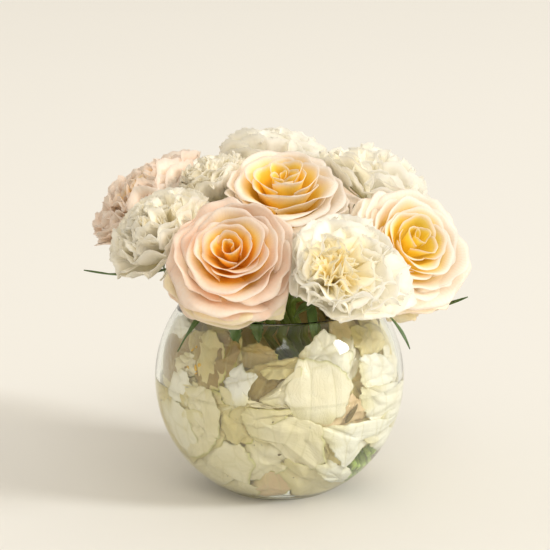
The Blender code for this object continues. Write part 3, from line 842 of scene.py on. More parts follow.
def rose_material(name, paler):
    """Golden deep inside, pale peach at the rims, with pink patches that also darken it as painted shade, a
    thin light edge line that is partly painted highlight, and greenish guard petals.
    """
    made, tree, shader = new_material(name)
    tint = colours()
    veins = use_group(tree, vein_group(), Count=16.0, Wander=0.10)
    patches = use_group(tree, patch_group(), Scale=60.0)
    age, blush = mark(tree, "age"), mark(tree, "blush")
    along = patches["Along"]
    steep = maths(tree, "SUBTRACT", 2.30, maths(tree, "MULTIPLY", age, 1.10))
    upper = past(tree, along, 0.82, steep, clamp=False)
    band = past(tree, along, 0.86, 7)
    upper = maths(tree, "ADD", upper, maths(tree, "MULTIPLY", band, 0.24))
    paleness = maths(tree, "ADD", maths(tree, "MULTIPLY", age, 0.82 + paler), upper)
    yellow = mark(tree, "gold")
    paler_late = maths(tree, "SUBTRACT", maths(tree, "MULTIPLY", age, 0.30), 0.13)
    paleness = maths(tree, "ADD", paleness, maths(tree, "MULTIPLY", yellow, paler_late))
    drift = past(tree, patches["Patches"], 0.5, 0.08, clamp=False)
    paleness = maths(tree, "ADD", paleness, drift, clamp=True)
    heart = blended(tree, yellow, tint.rose_heart, srgb(255, 234, 102))
    middle = blended(tree, yellow, tint.rose_middle, srgb(255, 238, 142))
    outer = ramp(tree, paleness, (
        (0.55, srgb(252, 236, 202)), (0.80, tint.rose_rim), (1.0, srgb(253, 248, 238))))
    gold = blended(tree, maths(tree, "MULTIPLY", paleness, 3.0, clamp=True), heart, middle)
    later = past(tree, paleness, 0.25, 3.2)
    gold = blended(tree, later, gold, outer)
    # Pink patches on the paler petals, stronger where the blush mark is set; they also darken the rose as
    # painted shade.
    pink = maths(tree, "MULTIPLY", maths(tree, "ADD", patches["Patches"], 0.3), blush, clamp=True)
    pink = maths(tree, "MULTIPLY", pink, maths(tree, "MULTIPLY", paleness, 1.2, clamp=True))
    colour = blended(tree, maths(tree, "MULTIPLY", pink, 0.8), gold, tint.rose_blush_and_shade)
    guard = past(tree, age, 1.0, 6)
    colour = blended(tree, maths(tree, "MULTIPLY", guard, 0.8), colour, tint.rose_guard)
    streak = short_of(tree, veins["Veins"], 1, 0.16, clamp=False)
    colour = blended(tree, streak, colour, srgb(252, 222, 172))
    # A thin light line along each rim: partly the petal's own paler edge, partly a painted highlight where
    # the rims catch the light.
    rim = maths(tree, "MULTIPLY", maths(tree, "ADD", age, 0.1), 0.6, clamp=True)
    rim = maths(tree, "MULTIPLY", patches["Rim"], rim)
    colour = blended(tree, rim, colour, srgb(255, 240, 226))
    finish_petal(
        tree, shader, colour, veins["Crinkle"],
        roughness=0.52, bump=0.00016, glow=0.30, clearness=ROSE_CLEARNESS)
    return made


def carnation_material():
    """White ruffles that turn greenish yellow towards their roots, darker there as painted shade, with
    patches of painted shade.
    """
    made, tree, shader = new_material("carnation_petal_matt")
    tint = colours()
    veins = use_group(tree, vein_group(), Count=10.0, Wander=0.16)
    patches = use_group(tree, patch_group(), Scale=90.0)
    along = maths(tree, "ADD", patches["Along"], maths(tree, "MULTIPLY", mark(tree, "age"), 0.15))
    colour = ramp(tree, along, (
        (0.15, tint.carnation_depth), (0.50, srgb(253, 249, 232)), (0.74, tint.carnation_white)))
    eye = maths(tree, "SUBTRACT", mark(tree, "gold"), mark(tree, "age"))
    eye = past(tree, eye, 0.40, 2.2)
    eye = maths(tree, "MULTIPLY", eye, maths(tree, "SUBTRACT", 1.4, patches["Along"]), clamp=True)
    colour = blended(tree, eye, colour, tint.carnation_eye)
    # Patches of painted shade in a warm beige, strongest on the carnations that stand in shade, where the
    # blush mark is set higher.
    shade = maths(tree, "ADD", maths(tree, "MULTIPLY", mark(tree, "blush"), 0.5), 0.12)
    painted_shade = maths(tree, "MULTIPLY", maths(tree, "ADD", patches["Patches"], 0.3), shade, clamp=True)
    colour = blended(tree, painted_shade, colour, srgb(240, 229, 198))
    finish_petal(
        tree, shader, colour, veins["Crinkle"],
        roughness=0.58, bump=0.00014, glow=0.40, clearness=CARNATION_CLEARNESS)
    return made


def loose_material():
    """Wet petals against the glass, white, cream, greenish, peach or brown by their tint; the olive and brown
    tints and the crease lines are painted shade.
    """
    made, tree, shader = new_material("loose_petal_wet")
    veins = use_group(tree, vein_group(), Count=8.0, Wander=0.30)
    patches = use_group(tree, patch_group(), Scale=70.0)
    drift = maths(tree, "MULTIPLY", patches["Patches"], 0.07)
    tone = maths(tree, "ADD", mark(tree, "tint"), drift, clamp=True)
    # The tint's olive and brown end is painted shade for petals in the flowers' shadow and deep in the bowl.
    colour = ramp(tree, tone, (
        (0.0, srgb(255, 252, 244)), (0.25, srgb(250, 240, 212)), (0.50, srgb(228, 210, 146)),
        (0.66, srgb(238, 208, 166)), (0.82, srgb(192, 168, 100)), (1.0, srgb(160, 128, 66))))
    rim = maths(tree, "ADD", mark(tree, "tint"), 0.40, clamp=True)
    rim = maths(tree, "MULTIPLY", patches["Rim"], rim)
    colour = blended(tree, rim, colour, srgb(196, 192, 88))
    root = short_of(tree, patches["Along"], 0.3, 2.2)
    colour = blended(tree, root, colour, srgb(228, 214, 150))
    line = short_of(tree, veins["Veins"], 1, 0.16, clamp=False)
    colour = blended(tree, line, colour, srgb(220, 208, 170))
    creases = use_group(tree, crease_group(), Scale=62.0)
    # The crease lines are darkened as painted shade in the folds.
    crease_shade = maths(tree, "MULTIPLY", creases["Lines"], 0.30)
    colour = blended(tree, crease_shade, colour, srgb(216, 204, 150))
    crinkle = maths(tree, "MULTIPLY", veins["Crinkle"], 0.12)
    relief = maths(tree, "ADD", crinkle, creases["Folds"])
    finish_petal(
        tree, shader, colour, relief,
        roughness=0.36, bump=0.0030, glow=0.14, clearness=LOOSE_CLEARNESS)
    return made


def green_material(name, colour, speckle, bump):
    """Satin plant green with fine lines along it and lighter, yellower patches."""
    made, tree, shader = new_material(name)
    place = object_place(tree)
    stretch = add(tree, "ShaderNodeMapping")
    stretch.inputs["Scale"].default_value = (1, 1, 0.12)
    connect(tree, place, stretch.inputs["Vector"])
    lines = noise_at(tree, stretch.outputs["Vector"], 1400)
    patch = past(tree, noise_at(tree, place, 140, 5), 0.4, 2.4)
    lighter = tuple(min(1, part * speckle + 0.02) for part in colour)
    base = blended(tree, patch, colour, lighter)
    streak = maths(tree, "MULTIPLY", lines, 0.3)
    base = blended(tree, streak, base, tuple(part * 0.55 for part in colour))
    low = short_of(tree, split_place(tree, place)["Z"], 0.055, 40)
    base = blended(tree, low, base, colours().cut_green)
    connect(tree, base, shader.inputs["Base Color"])
    shader.inputs["Roughness"].default_value = 0.42
    shader.inputs["Subsurface Weight"].default_value = 0.15
    shader.inputs["Subsurface Radius"].default_value = (0.6, 1.0, 0.3)
    shader.inputs["Subsurface Scale"].default_value = 0.001
    bump_from(tree, shader, lines, bump)
    return made


def clear_material(name, colour, bends, shade):
    """Clear glass or water. Rays from lamps and between petals pass straight through, a little tinted."""
    made, tree, shader = new_material(name)
    noise = noise_at(tree, object_place(tree), 26, 1)
    bump_from(tree, shader, noise, 0.0008, 0.15)
    drift = maths(tree, "MULTIPLY", noise, 0.5)
    darker = tuple(part * 0.985 for part in colour)
    connect(tree, blended(tree, drift, colour, darker), shader.inputs["Base Color"])
    shader.inputs["Roughness"].default_value = 0.0
    shader.inputs["IOR"].default_value = bends
    shader.inputs["Transmission Weight"].default_value = 1.0
    path = add(tree, "ShaderNodeLightPath").outputs
    through = maths(tree, "MAXIMUM", path["Is Shadow Ray"], path["Is Diffuse Ray"])
    veil = add(tree, "ShaderNodeBsdfTransparent")
    feed(tree, shade, veil.inputs["Color"])
    surface = mixed_shader(tree, through, shader, veil)
    connect(tree, surface.outputs[0], tree.nodes["Material Output"].inputs["Surface"])
    return made


def mottled_material(name, colour, other, roughness, scale, share=1.0):
    """A plain finish mottled between two colours, this share of the way to the second."""
    made, tree, shader = new_material(name)
    mottle = maths(tree, "MULTIPLY", noise_at(tree, object_place(tree), scale), share)
    connect(tree, blended(tree, mottle, colour, other), shader.inputs["Base Color"])
    shader.inputs["Roughness"].default_value = roughness
    return made


# Blooms

def lifted(profile, lift, age):
    """The profile with its rim raised by lift, in bloom radii, the more the older the petal is."""
    return profile + np.array([[0, 0], [0, 0], [0, 0.6], [0, 1]]) * lift * age ** 1.5


def outward_of(slopes):
    """The directions across a profile, away from the axis."""
    return np.stack([slopes[:, 1], -slopes[:, 0]], axis=1)


def rose_petal(u, v, age, look, turn, draw, droop=0.0, wide=1.0):
    """Points of one rose petal in bloom radii: up its profile, round the axis, its rim curled outwards."""
    late = min(age, 1)
    inner = look.opened * (1 - late)
    ruffle = look.ruffle * (0.2 + 0.8 * late)
    profile = profile_at(ROSE_PROFILES, late ** (1 / (1 + 0.6 * look.opened)))
    profile = lifted(profile, look.lift, late)
    profile = profile + np.array([[0, 0], [0, -0.2], [0.04, -0.6], [0.06, -1]]) * droop
    if age > 1:
        profile = profile + np.array([[0, 0], [0, -0.03], [0, -0.10], [0, -0.16]])
    width = math.radians(100 - 40 * late) * draw.uniform(0.85, 1.12) * wide * (1 - 0.30 * inner)
    phases = [draw.uniform(0, 2 * math.pi) for _ in range(4)]

    # The outline: rounded, with a soft point on older petals, and a little uneven.
    side = np.abs(u)
    tip = late * np.exp(-((u - draw.uniform(-0.25, 0.25)) / 0.16) ** 2)
    limit = 1 - (0.16 + 0.16 * late) * side ** 2.2 + 0.045 * tip
    limit = limit + 0.020 * np.sin(5 * u + phases[0]) + 0.016 * ruffle * np.sin(13 * u + phases[1])
    limit = limit + 0.012 * late * ruffle * np.sin(21 * u + phases[2])
    body = v * limit * draw.uniform(0.92, 1.04)
    places, slopes = curve_points(profile, np.clip(body, 0, 1.05))
    outward = outward_of(slopes)

    # The rim curls outwards and back down, most on the oldest petals.
    edge = 1 - (1 - v) * (1 - 0.85 * side ** 4)
    curl = np.clip((edge - 0.66) / 0.34, 0, 1)
    swing = (0.30 + late) * draw.uniform(0.5, 1.4) * (1 + 0.45 * np.sin(3.5 * u + phases[2]))
    swing = swing * (1 - 0.35 * tip)
    places = places + (0.105 * swing * curl ** 2)[:, None] * outward
    places = places - (0.060 * swing * late * curl ** 3)[:, None] * slopes

    # The blade waves, finer near the rim, lies over the next petal, leans, and folds in an open heart.
    wave = 0.020 * ruffle * np.sin(2.6 * u + phases[3]) * v ** 2
    wave = wave + 0.018 * ruffle ** 1.3 * np.sin(6.5 * u + phases[0]) * v ** 4
    wave = wave + 0.011 * ruffle ** 1.5 * np.sin(14 * u + phases[1]) * v ** 8
    tuck = 0.020 * u * (0.5 + 0.5 * v) + draw.uniform(-0.008, 0.008)
    lean = (draw.uniform(-0.03, 0.04) * late + draw.uniform(-0.10, 0.05) * inner) * v ** 2
    fold = 0.09 * inner * (1 - 2 * side) * v
    places = places + (tuck + wave + lean + fold)[:, None] * outward
    places[:, 1] += draw.uniform(-0.03, 0.02) * v
    angle = turn + u * width * (0.70 + 0.30 * v) + 0.05 * ruffle * np.sin(5 * v + phases[2]) * v
    x, y = places[:, 0] * np.cos(angle), places[:, 0] * np.sin(angle)
    return np.stack([x, y, places[:, 1]], axis=1)


def carnation_petal(u, v, age, look, turn, draw):
    """Points of one carnation petal in bloom radii: a narrow claw, then a ruffled fan with a toothed rim."""
    profile = lifted(profile_at(CARNATION_PROFILES, age), look.lift, age)
    width = math.radians(50 - 12 * age) * draw.uniform(0.8, 1.2)
    phases = [draw.uniform(0, 2 * math.pi) for _ in range(4)]
    calm = 1 - 0.6 * max(age - 0.85, 0) / 0.15
    column = np.rint((u + 1) / 2 * FAN_COLUMNS).astype(int)
    cuts = np.array([draw.uniform(0.4, 1.0) * (k % 2) for k in range(FAN_COLUMNS + 1)])
    reach = v * (1 - 0.20 * np.abs(u) ** 3) * draw.uniform(0.90, 1.07)
    reach = reach - 0.036 * calm * cuts[column] * np.clip((v - 0.80) / 0.20, 0, 1)
    reach = reach + 0.02 * np.sin(5 * u + phases[2]) * v
    places, slopes = curve_points(profile, np.clip(reach, 0, 1.1))
    outward = outward_of(slopes)
    waves = draw.uniform(4.5, 7.0)
    swell = v ** 1.7 * draw.uniform(0.7, 1.2) * look.ruffle * calm
    ruffle = 0.085 * swell * np.sin(waves * u + phases[0])
    ruffle = ruffle + 0.040 * swell * v * np.sin(2.1 * waves * u + phases[1])
    ruffle = ruffle + 0.030 * swell * np.sin(2.2 * u + phases[3])
    lean = draw.uniform(-0.20, 0.20) * np.clip((v - 0.4) / 0.6, 0, 1) ** 2
    places = places + (ruffle + lean)[:, None] * outward
    sway = 0.14 * swell * np.cos(waves * u + phases[0])
    angle = turn + width * (u * (0.25 + 0.75 * v) + sway)
    x = places[:, 0] * np.cos(angle) + look.eye[0] * (1 - age)
    y = places[:, 0] * np.sin(angle) + look.eye[1] * (1 - age)
    return np.stack([x, y, places[:, 1]], axis=1)


def bloom_head(bloom, sheet, count, blade, *materials):
    """All the petals of one bloom in one object, from the heart outwards by the golden angle."""
    u, v = sheet_marks(sheet)
    draw = random.Random(bloom.name)
    look = LOOKS[bloom.name]
    petals = []

    def grow(points, age):
        points[:, :2] *= 1 + (look.spread - 1) * min(age, 1)
        press = look.press * draw.uniform(0.3, 1.5)
        places = bend_clear(set_in_place(points * bloom.radius, bloom), bloom, press)
        places[:, 2] = look.above + eased(places[:, 2] - look.above, SAG_START, 0.0)
        petals.append(shaped_copy(sheet, places, age=age, blush=look.blush, gold=look.gold))

    count = round(count * (1 + 0.5 * look.opened))
    for k in range(count):
        turn = k * GOLDEN_ANGLE + draw.uniform(-0.09, 0.09)
        if bloom.kind == "rose" and not look.frilled:
            age = 1.05 * (k / (count - 1)) ** (0.95 + 0.22 * look.opened)
            grow(rose_petal(u, v, age, look, turn, draw), age)
        else:
            age = (k / (count - 1)) ** 0.72
            grow(carnation_petal(u, v, age, look, turn, draw), age)
    for guard in GUARDS:
        if guard.bloom == bloom.name:
            aside = math.radians(guard.aside)
            way = rotation_of(bloom).inverted() @ Vector((math.sin(aside), 0, -math.cos(aside)))
            turn = math.atan2(way.y, way.x)
            grow(rose_petal(u, v, GUARD_AGE, look, turn, draw, guard.droop, guard.wide), GUARD_AGE)
    head = dress(joined(bloom.name + "_bloom", petals), bloom.kind + "_petal", *materials)
    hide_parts(bloom.name)
    return thickened(head, blade)


# Stems, cups, sepals and leaves

def floor_height(x, y):
    """The height at which a stem's end just clears the inside of the glass over (x, y)."""
    inner = sizes().bowl_radius - sizes().glass_wall - FOOT_CLEARANCE
    return max(sizes().glass_floor + FOOT_CLEARANCE, BOWL_HEIGHT - math.sqrt(inner ** 2 - x * x - y * y))


def stem_ends(bloom):
    """Where the stem passes the neck, and where it stands on the glass."""
    base = base_of(bloom)
    angle = math.atan2(base.y, base.x)
    neck = INNER_NECK_RING if bloom.crown else OUTER_NECK_RING
    foot = INNER_FOOT_RING if bloom.crown else OUTER_FOOT_RING
    top = Vector((neck * math.cos(angle), neck * math.sin(angle), NECK_HEIGHT))
    angle += BUNCH_TWIST
    low = FOOT_OF_BUNCH + foot * Vector((math.cos(angle), math.sin(angle), 0))
    low.z = floor_height(low.x, low.y)
    return top, low


def stem_line(bloom):
    """The stem's middle line from under the bloom to the foot, straight below the neck."""
    neck, foot = stem_ends(bloom)
    down = -direction(bloom.azimuth, bloom.elevation)
    start = base_of(bloom) + down * STEM_START
    along = (foot - neck).normalized()
    reach = (neck - start).length
    control = (start, start + down * 0.42 * reach, neck - along * 0.42 * reach, neck)
    line = [Vector(curve_point(control, k / STEM_STEPS)) for k in range(STEM_STEPS + 1)]
    return line + [neck.lerp(foot, k / FOOT_STEPS) for k in range(1, FOOT_STEPS + 1)]


def tube(line, radius):
    """A round rod along the line, with closed ends."""
    curve = bpy.data.curves.new("stem_line", "CURVE")
    curve.dimensions = "3D"
    curve.bevel_depth = radius
    curve.bevel_resolution = 3
    curve.use_fill_caps = True
    route = curve.splines.new("POLY")
    route.points.add(len(line) - 1)
    for corner, point in zip(route.points, line):
        corner.co = (*point, 1)
    rod = bpy.data.objects.new("stem_line", curve)
    bpy.context.collection.objects.link(rod)
    take(rod)
    bpy.ops.object.convert(target="MESH")
    rod = bpy.context.object
    bpy.ops.object.mode_set(mode="EDIT")
    bpy.ops.mesh.select_all(action="SELECT")
    bpy.ops.mesh.remove_doubles(threshold=MERGE_DISTANCE)
    bpy.ops.object.mode_set(mode="OBJECT")
    bpy.ops.object.shade_smooth_by_angle(angle=math.radians(50))
    return rod


def placed(piece, bloom):
    """Moves a part modelled on the bloom's own axes to its place, in its mesh."""
    piece.rotation_mode = "QUATERNION"
    piece.rotation_quaternion = rotation_of(bloom)
    piece.location = base_of(bloom)
    take(piece)
    bpy.ops.object.transform_apply(location=True, rotation=True, scale=True)
    return piece


def round_axis(radius, aside, height, turn):
    """Points this far out from the axis and this far to the side of a direction round it."""
    x = radius * math.cos(turn) - math.sin(turn) * aside
    y = radius * math.sin(turn) + math.cos(turn) * aside
    return np.stack([x, y, height], axis=1)


def sepal_points(u, v, turn, length, draw):
    """One sepal, which springs from the cup's rim, narrows to a point and curls down."""
    lobes = 1 + 0.35 * np.maximum(np.sin(v * 15), 0) * (v < 0.7)
    width = SEPAL_WIDTH * np.sin(math.pi * np.minimum(v * 0.8 + 0.24, 1)) ** 0.8 * 0.5 * lobes
    bend = draw.uniform(0.4, 0.75)
    radius = 0.0052 + length * np.sin(1.35 * v) / 1.35
    height = -0.0014 - length * bend * v * v + 0.15 * np.abs(u) * width
    return round_axis(radius, u * width, height, turn)


def carnation_tooth(u, v, turn):
    """One pointed tooth of the carnation's tube, which hugs the petals' roots."""
    width = 0.0034 * (1 - v) ** 0.7
    height = -0.0034 + 0.0028 * v - 0.0004 * u * u
    return round_axis(0.0058 + 0.0012 * v, u * width, height, turn)


def leaf_points(u, v, leaf, line):
    """One leaf from its stem to its tip, folded a little along its rib, toothed if it has teeth."""
    spot = leaf.along * STEM_STEPS
    k = min(int(spot), len(line) - 2)
    root = line[k].lerp(line[k + 1], spot - k)
    run = Vector(leaf.tip) - root
    side = run.cross(Vector((0, 0, 1))).normalized()
    lift = side.cross(run).normalized()
    width = leaf.width * 0.5 * (0.40 + 2.1 * v) * (1 - v) ** 0.8
    if leaf.teeth:
        width = width * (1.25 - 0.45 * np.mod(v * leaf.teeth, 1))
    arch = leaf.arch * 4 * v * (1 - v)
    keel = 0.28 * np.abs(u) * width + 0.0006 * np.sin(11 * v + 2 * u) * np.abs(u)
    return np.array(root) + np.outer(v, run) + np.outer(u * width, side) + np.outer(arch + keel, lift)


def greens(bloom, short, long, materials):
    """One bloom's stem with its cup, its sepals or teeth, and its leaves, in one object."""
    u, v = sheet_marks(short)
    draw = random.Random(bloom.name + "_greens")
    rose = bloom.kind == "rose"
    radius = ROSE_STEM if rose else CARNATION_STEM
    line = stem_line(bloom)
    rod = tube(line, radius)
    down = (line[-1] - line[-2]).normalized()
    cup = placed(turned("cup", ROSE_CUP if rose else CARNATION_CUP, CUP_SIDES), bloom)
    blades = []
    for k in range(SEPAL_COUNT):
        turn = 2 * math.pi * (k + draw.uniform(-0.1, 0.1)) / SEPAL_COUNT
        length = SEPAL_LENGTH * draw.uniform(0.75, 1.05)
        points = sepal_points(u, v, turn, length, draw) if rose else carnation_tooth(u, v, turn)
        blades.append(shaped_copy(short, set_in_place(points, bloom)))
    u, v = sheet_marks(long)
    for leaf in LEAVES:
        if leaf.bloom == bloom.name:
            blades.append(shaped_copy(long, leaf_points(u, v, leaf, line)))
    leaves = thickened(joined("blades", blades), sizes().leaf_blade)
    for part, place in ((rod, 0), (cup, 0), (leaves, 1)):
        give_materials(part, materials)
        for face in part.data.polygons:
            at_end = (face.center - line[-1]).dot(down) > -CUT_FACE_DEPTH and part is rod
            face.material_index = 2 if at_end else place
    piece = joined(bloom.name + "_greens", [rod, cup, leaves])
    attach(piece, "root")
    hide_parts(bloom.name + "_stem")
    return piece


# Loose petals and what lies among them

def on_glass(azimuth, height, depth):
    """A point inside the bowl, this deep behind the inner face of the glass, with its three directions."""
    inner = sizes().bowl_radius - sizes().glass_wall
    rise = math.asin(max(min((height - BOWL_HEIGHT) / inner, 0.95), -0.95))
    a = math.radians(azimuth)
    out = Vector((math.sin(a) * math.cos(rise), -math.cos(a) * math.cos(rise), math.sin(rise)))
    side = Vector((math.cos(a), math.sin(a), 0))
    return BOWL_CENTRE + out * (inner - depth), out, side, out.cross(side)


def smooth_outline(corners, steps):
    """A closed outline of this many points that runs smoothly through the corners."""
    count = len(corners)
    t = np.arange(steps) * count / steps
    k = t.astype(int)
    part = (t - k)[:, None]
    before, here, after, beyond = (corners[(k + shift) % count] for shift in (-1, 0, 1, 2))
    straight = here * (1 - part) + after * part
    curved = 0.5 * (
        2 * here + (after - before) * part
        + (2 * before - 5 * here + 4 * after - beyond) * part ** 2
        + (3 * here - before - 3 * after + beyond) * part ** 3)
    return 0.6 * straight + 0.4 * curved


def loose_points(u, v, petal, draw):
    """Points of a loose petal pressed to the glass from inside, flat where it touches, creased elsewhere."""
    inner = sizes().bowl_radius - sizes().glass_wall
    corners = np.array([on_glass(azimuth, height / 1000, 0)[1] for azimuth, height in petal.outline])
    outline = smooth_outline(corners, OUTLINE_STEPS)
    middle = corners.mean(axis=0)

    # The square sheet's middle goes to the middle of the outline, and its edge to the outline.
    along = 2 * v - 1
    reach = np.maximum(np.abs(u), np.abs(along))
    angle = np.arctan2(u, -along)
    spot = (angle / (2 * math.pi) % 1) * OUTLINE_STEPS
    k = spot.astype(int) % OUTLINE_STEPS
    part = (spot - spot.astype(int))[:, None]
    edge = outline[k] * (1 - part) + outline[(k + 1) % OUTLINE_STEPS] * part

    # A ragged rim, a tenth larger than its outline.
    phases = [draw.uniform(0, 2 * math.pi) for _ in range(5)]
    ragged = 1 + 0.03 * np.sin(7 * angle + phases[0]) + 0.03 * np.sin(13 * angle + phases[1])
    ragged = ragged + 0.018 * np.sin(24 * angle + phases[2])
    places = middle + 1.10 * (edge - middle) * (reach * ragged ** (reach ** 3))[:, None]
    away = places / np.linalg.norm(places, axis=1)[:, None]

    # The depth behind the glass in millimetres: soft waves, five creases, and a rim that curls inwards.
    depth = petal.depth + 0.7 * np.sin(2.2 * u + phases[2]) + 0.7 * np.sin(2.6 * along + phases[3])
    for _ in range(5):
        line = draw.uniform(0, math.pi)
        offset = u * math.cos(line) + along * math.sin(line) - draw.uniform(-0.7, 0.7)
        offset = offset + 0.08 * np.sin(4 * (u * math.sin(line) - along * math.cos(line)) + phases[0])
        depth = depth + petal.crumple * draw.choice((-1.3, 1.5)) * np.exp(-np.abs(offset) / 0.14)
    curled = np.maximum(np.sin(angle + phases[4]) + 0.3 * np.sin(3 * angle + phases[0]), 0)
    depth = depth + 3.2 * petal.crumple * curled * np.clip((reach - 0.55) / 0.45, 0, 1) ** 2
    depth = np.clip(depth / 1000, LOOSE_NEAREST, LOOSE_DEEPEST)
    places = np.array(BOWL_CENTRE) + away * (inner - depth)[:, None]
    places[:, 2] = np.maximum(places[:, 2], sizes().glass_floor + 0.0008)
    return places


def ring_petals():
    """The petals of the rings, apart from where the front ones lie and where the water is left clear."""
    draw = random.Random(11)
    made = []
    for ring in PETAL_RINGS:
        for k in range(ring.count):
            azimuth = (ring.first + 360 * k / ring.count + draw.uniform(-6, 6) + 180) % 360 - 180
            turn = draw.uniform(-0.9, 0.9)
            tint = draw.choice((0.0, 0.05, 0.12, 0.18, 0.25, 0.30, 0.45))
            height = ring.height + draw.uniform(-4, 4)
            size = draw.uniform(15, 20)
            across = math.sqrt(max(1 - ((height - RING_MIDDLE) / RING_RADIUS) ** 2, 0.15))
            outline = []

            # The egg is sized unevenly, turned, and laid on the glass.
            for x, y in EGG:
                x, y = x * size * draw.uniform(0.75, 1.2), y * size * draw.uniform(0.85, 1.25)
                x, y = x * math.cos(turn) - y * math.sin(turn), x * math.sin(turn) + y * math.cos(turn)
                outline.append((azimuth + math.degrees(x / RING_RADIUS / across), height + y * across))
            clear = CLEAR_AZIMUTH[0] < azimuth < CLEAR_AZIMUTH[1] and height < CLEAR_TOP
            clear = clear or (abs(azimuth - NECK_MIDDLE) < NECK_AZIMUTH and height > NECK_BOTTOM)
            if clear or (not ring.deep and abs(azimuth) < FRONT_LIMIT):
                continue
            depth = ring.depth + draw.uniform(-0.6, 0.6)
            # The deeper petals take darker khaki tints, painted shade in the gaps behind the nearer petals.
            if ring.deep:
                made.append(LoosePetal(depth, 0.44 + 0.3 * tint, 1.0, outline, "deep"))
            else:
                made.append(LoosePetal(depth, tint, 1.0, outline, "side"))
    return made


def pebble(fleck, depth, thickness, sides=10, rings=7):
    """A small long body that lies flat behind the glass."""
    place, out, side, rise = on_glass(fleck.azimuth, fleck.height / 1000, depth)
    deselect_all()
    bpy.ops.mesh.primitive_uv_sphere_add(segments=sides, ring_count=rings, radius=1, location=(0, 0, 0))
    body = bpy.context.object
    turn = math.radians(fleck.turn)
    long = rise * math.cos(turn) + side * math.sin(turn)
    wide = out.cross(long)
    for corner in body.data.vertices:
        x, y, z = corner.co
        taper = 1 - 0.35 * z
        corner.co = (place + long * z * fleck.length + wide * x * fleck.width * taper
                     + out * y * thickness * taper)
    bpy.ops.object.mode_set(mode="EDIT")
    bpy.ops.mesh.select_all(action="SELECT")
    bpy.ops.mesh.normals_make_consistent(inside=False)
    bpy.ops.object.mode_set(mode="OBJECT")
    bpy.ops.object.shade_smooth()
    return body


# Operators, one for each piece or group of like pieces

class FLOWERS_OT_stage(bpy.types.Operator):
    """Lay the pale floor, and set the camera, the lights and the sky"""

    bl_idname = "flowers.stage"
    bl_label = "Stage, Camera and Lights"

    def execute(self, context):
        deselect_all()
        bpy.ops.mesh.primitive_plane_add(size=16, location=(0, 0, 0))
        floor = context.object
        floor.name = "pale_floor"
        base = colours().floor_cream
        darker = tuple(part * 0.97 for part in base)
        floor.data.materials.append(mottled_material("pale_floor", base, darker, 0.8, 1.2, 0.5))
        self.camera()
        self.lights(context)
        return {"FINISHED"}

    def camera(self):
        place = CAMERA_TARGET + Vector((0, -math.cos(CAMERA_TILT), math.sin(CAMERA_TILT))) * CAMERA_DISTANCE
        bpy.ops.object.camera_add(location=place, rotation=(math.pi / 2 - CAMERA_TILT, 0, 0))
        camera = bpy.context.object
        camera.data.sensor_width = 36
        camera.data.lens = CAMERA_LENS
        camera.data.clip_end = 60
        bpy.context.scene.camera = camera

    def lights(self, context):
        for lamp in LAMPS:
            away = direction(lamp.azimuth, lamp.elevation)
            turn = away.to_track_quat("Z", "Y").to_euler()
            place = LAMP_TARGET + away * lamp.distance
            bpy.ops.object.light_add(type="AREA", location=place, rotation=turn)
            light = bpy.context.object.data
            light.size = lamp.size
            light.energy = lamp.power
            light.color = lamp.colour
        world = context.scene.world or bpy.data.worlds.new("soft_sky")
        context.scene.world = world
        world.use_nodes = True
        sky = world.node_tree.nodes["Background"]
        sky.inputs["Color"].default_value = SKY_COLOUR
        sky.inputs["Strength"].default_value = SKY_STRENGTH
        context.scene.view_settings.view_transform = "Standard"


class FLOWERS_OT_glass_bowl(bpy.types.Operator):
    """Turn the clear glass bowl with its rounded lip and thick foot"""

    bl_idname = "flowers.glass_bowl"
    bl_label = "Glass Bowl"

    def execute(self, context):
        outer, wall = sizes().bowl_radius, sizes().glass_wall
        inner = outer - wall
        lip = math.acos(sizes().mouth_radius / outer)
        foot = -math.asin(BOWL_HEIGHT / outer)
        floor = -math.asin((BOWL_HEIGHT - sizes().glass_floor) / inner)
        middle = outer - wall / 2
        profile = [(0, sizes().glass_floor)] + arc(inner, floor, lip, ARC_STEPS)

        # The lip is half a circle that leans inwards a little.
        for turn in (45, 90, 135):
            across = wall / 2 * math.cos(math.radians(180 - turn))
            radius = middle + across
            up = wall / 2 * math.sin(math.radians(turn))
            leaning = radius * math.cos(lip) - up * math.sin(lip) * 0.4
            profile.append((leaning, BOWL_HEIGHT + radius * math.sin(lip) + up))

        # The outside ends just above the foot's rounded edge and flat underside.
        profile += arc(outer, lip, foot + 0.03, ARC_STEPS)
        edge = outer * math.cos(foot)
        profile += [(edge + 0.0010, 0.0004), (edge - 0.0004, 0), (0, 0)]
        bowl = turned("glass_bowl", profile, BOWL_SIDES)
        tint, shade = (0.955, 0.985, 0.955), (0.97, 0.975, 0.96)
        dress(bowl, "clear_glass", clear_material("clear_bowl_glass", tint, GLASS_BENDS, shade))
        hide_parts("vase")
        return {"FINISHED"}


class FLOWERS_OT_water(bpy.types.Operator):
    """Fill the bowl with water that climbs a little up the glass"""

    bl_idname = "flowers.water"
    bl_label = "Water"

    def execute(self, context):
        into_glass = 0.0003
        radius = sizes().bowl_radius - sizes().glass_wall + into_glass
        level, bottom = sizes().water_level, sizes().glass_floor - into_glass

        # How the water climbs towards the glass, as steps from the glass and from the level.
        climb = ((-0.0024, 0.0), (-0.0015, 0.0001), (-0.0008, 0.0003), (0.0, 0.0007))
        profile = [(0, level)] + [(radius + step, level + rise) for step, rise in climb]
        high = math.asin((level + climb[-1][1] - BOWL_HEIGHT) / radius)
        low = -math.asin((BOWL_HEIGHT - bottom) / radius)
        profile += arc(radius, high, low, ARC_STEPS)[1:] + [(0, bottom)]
        water = turned("bowl_water", profile, BOWL_SIDES)
        tint, shade = (0.985, 0.99, 0.965), (0.985, 0.985, 0.97)
        dress(water, "water", clear_material("still_water", tint, WATER_BENDS, shade))
        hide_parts("water")
        return {"FINISHED"}


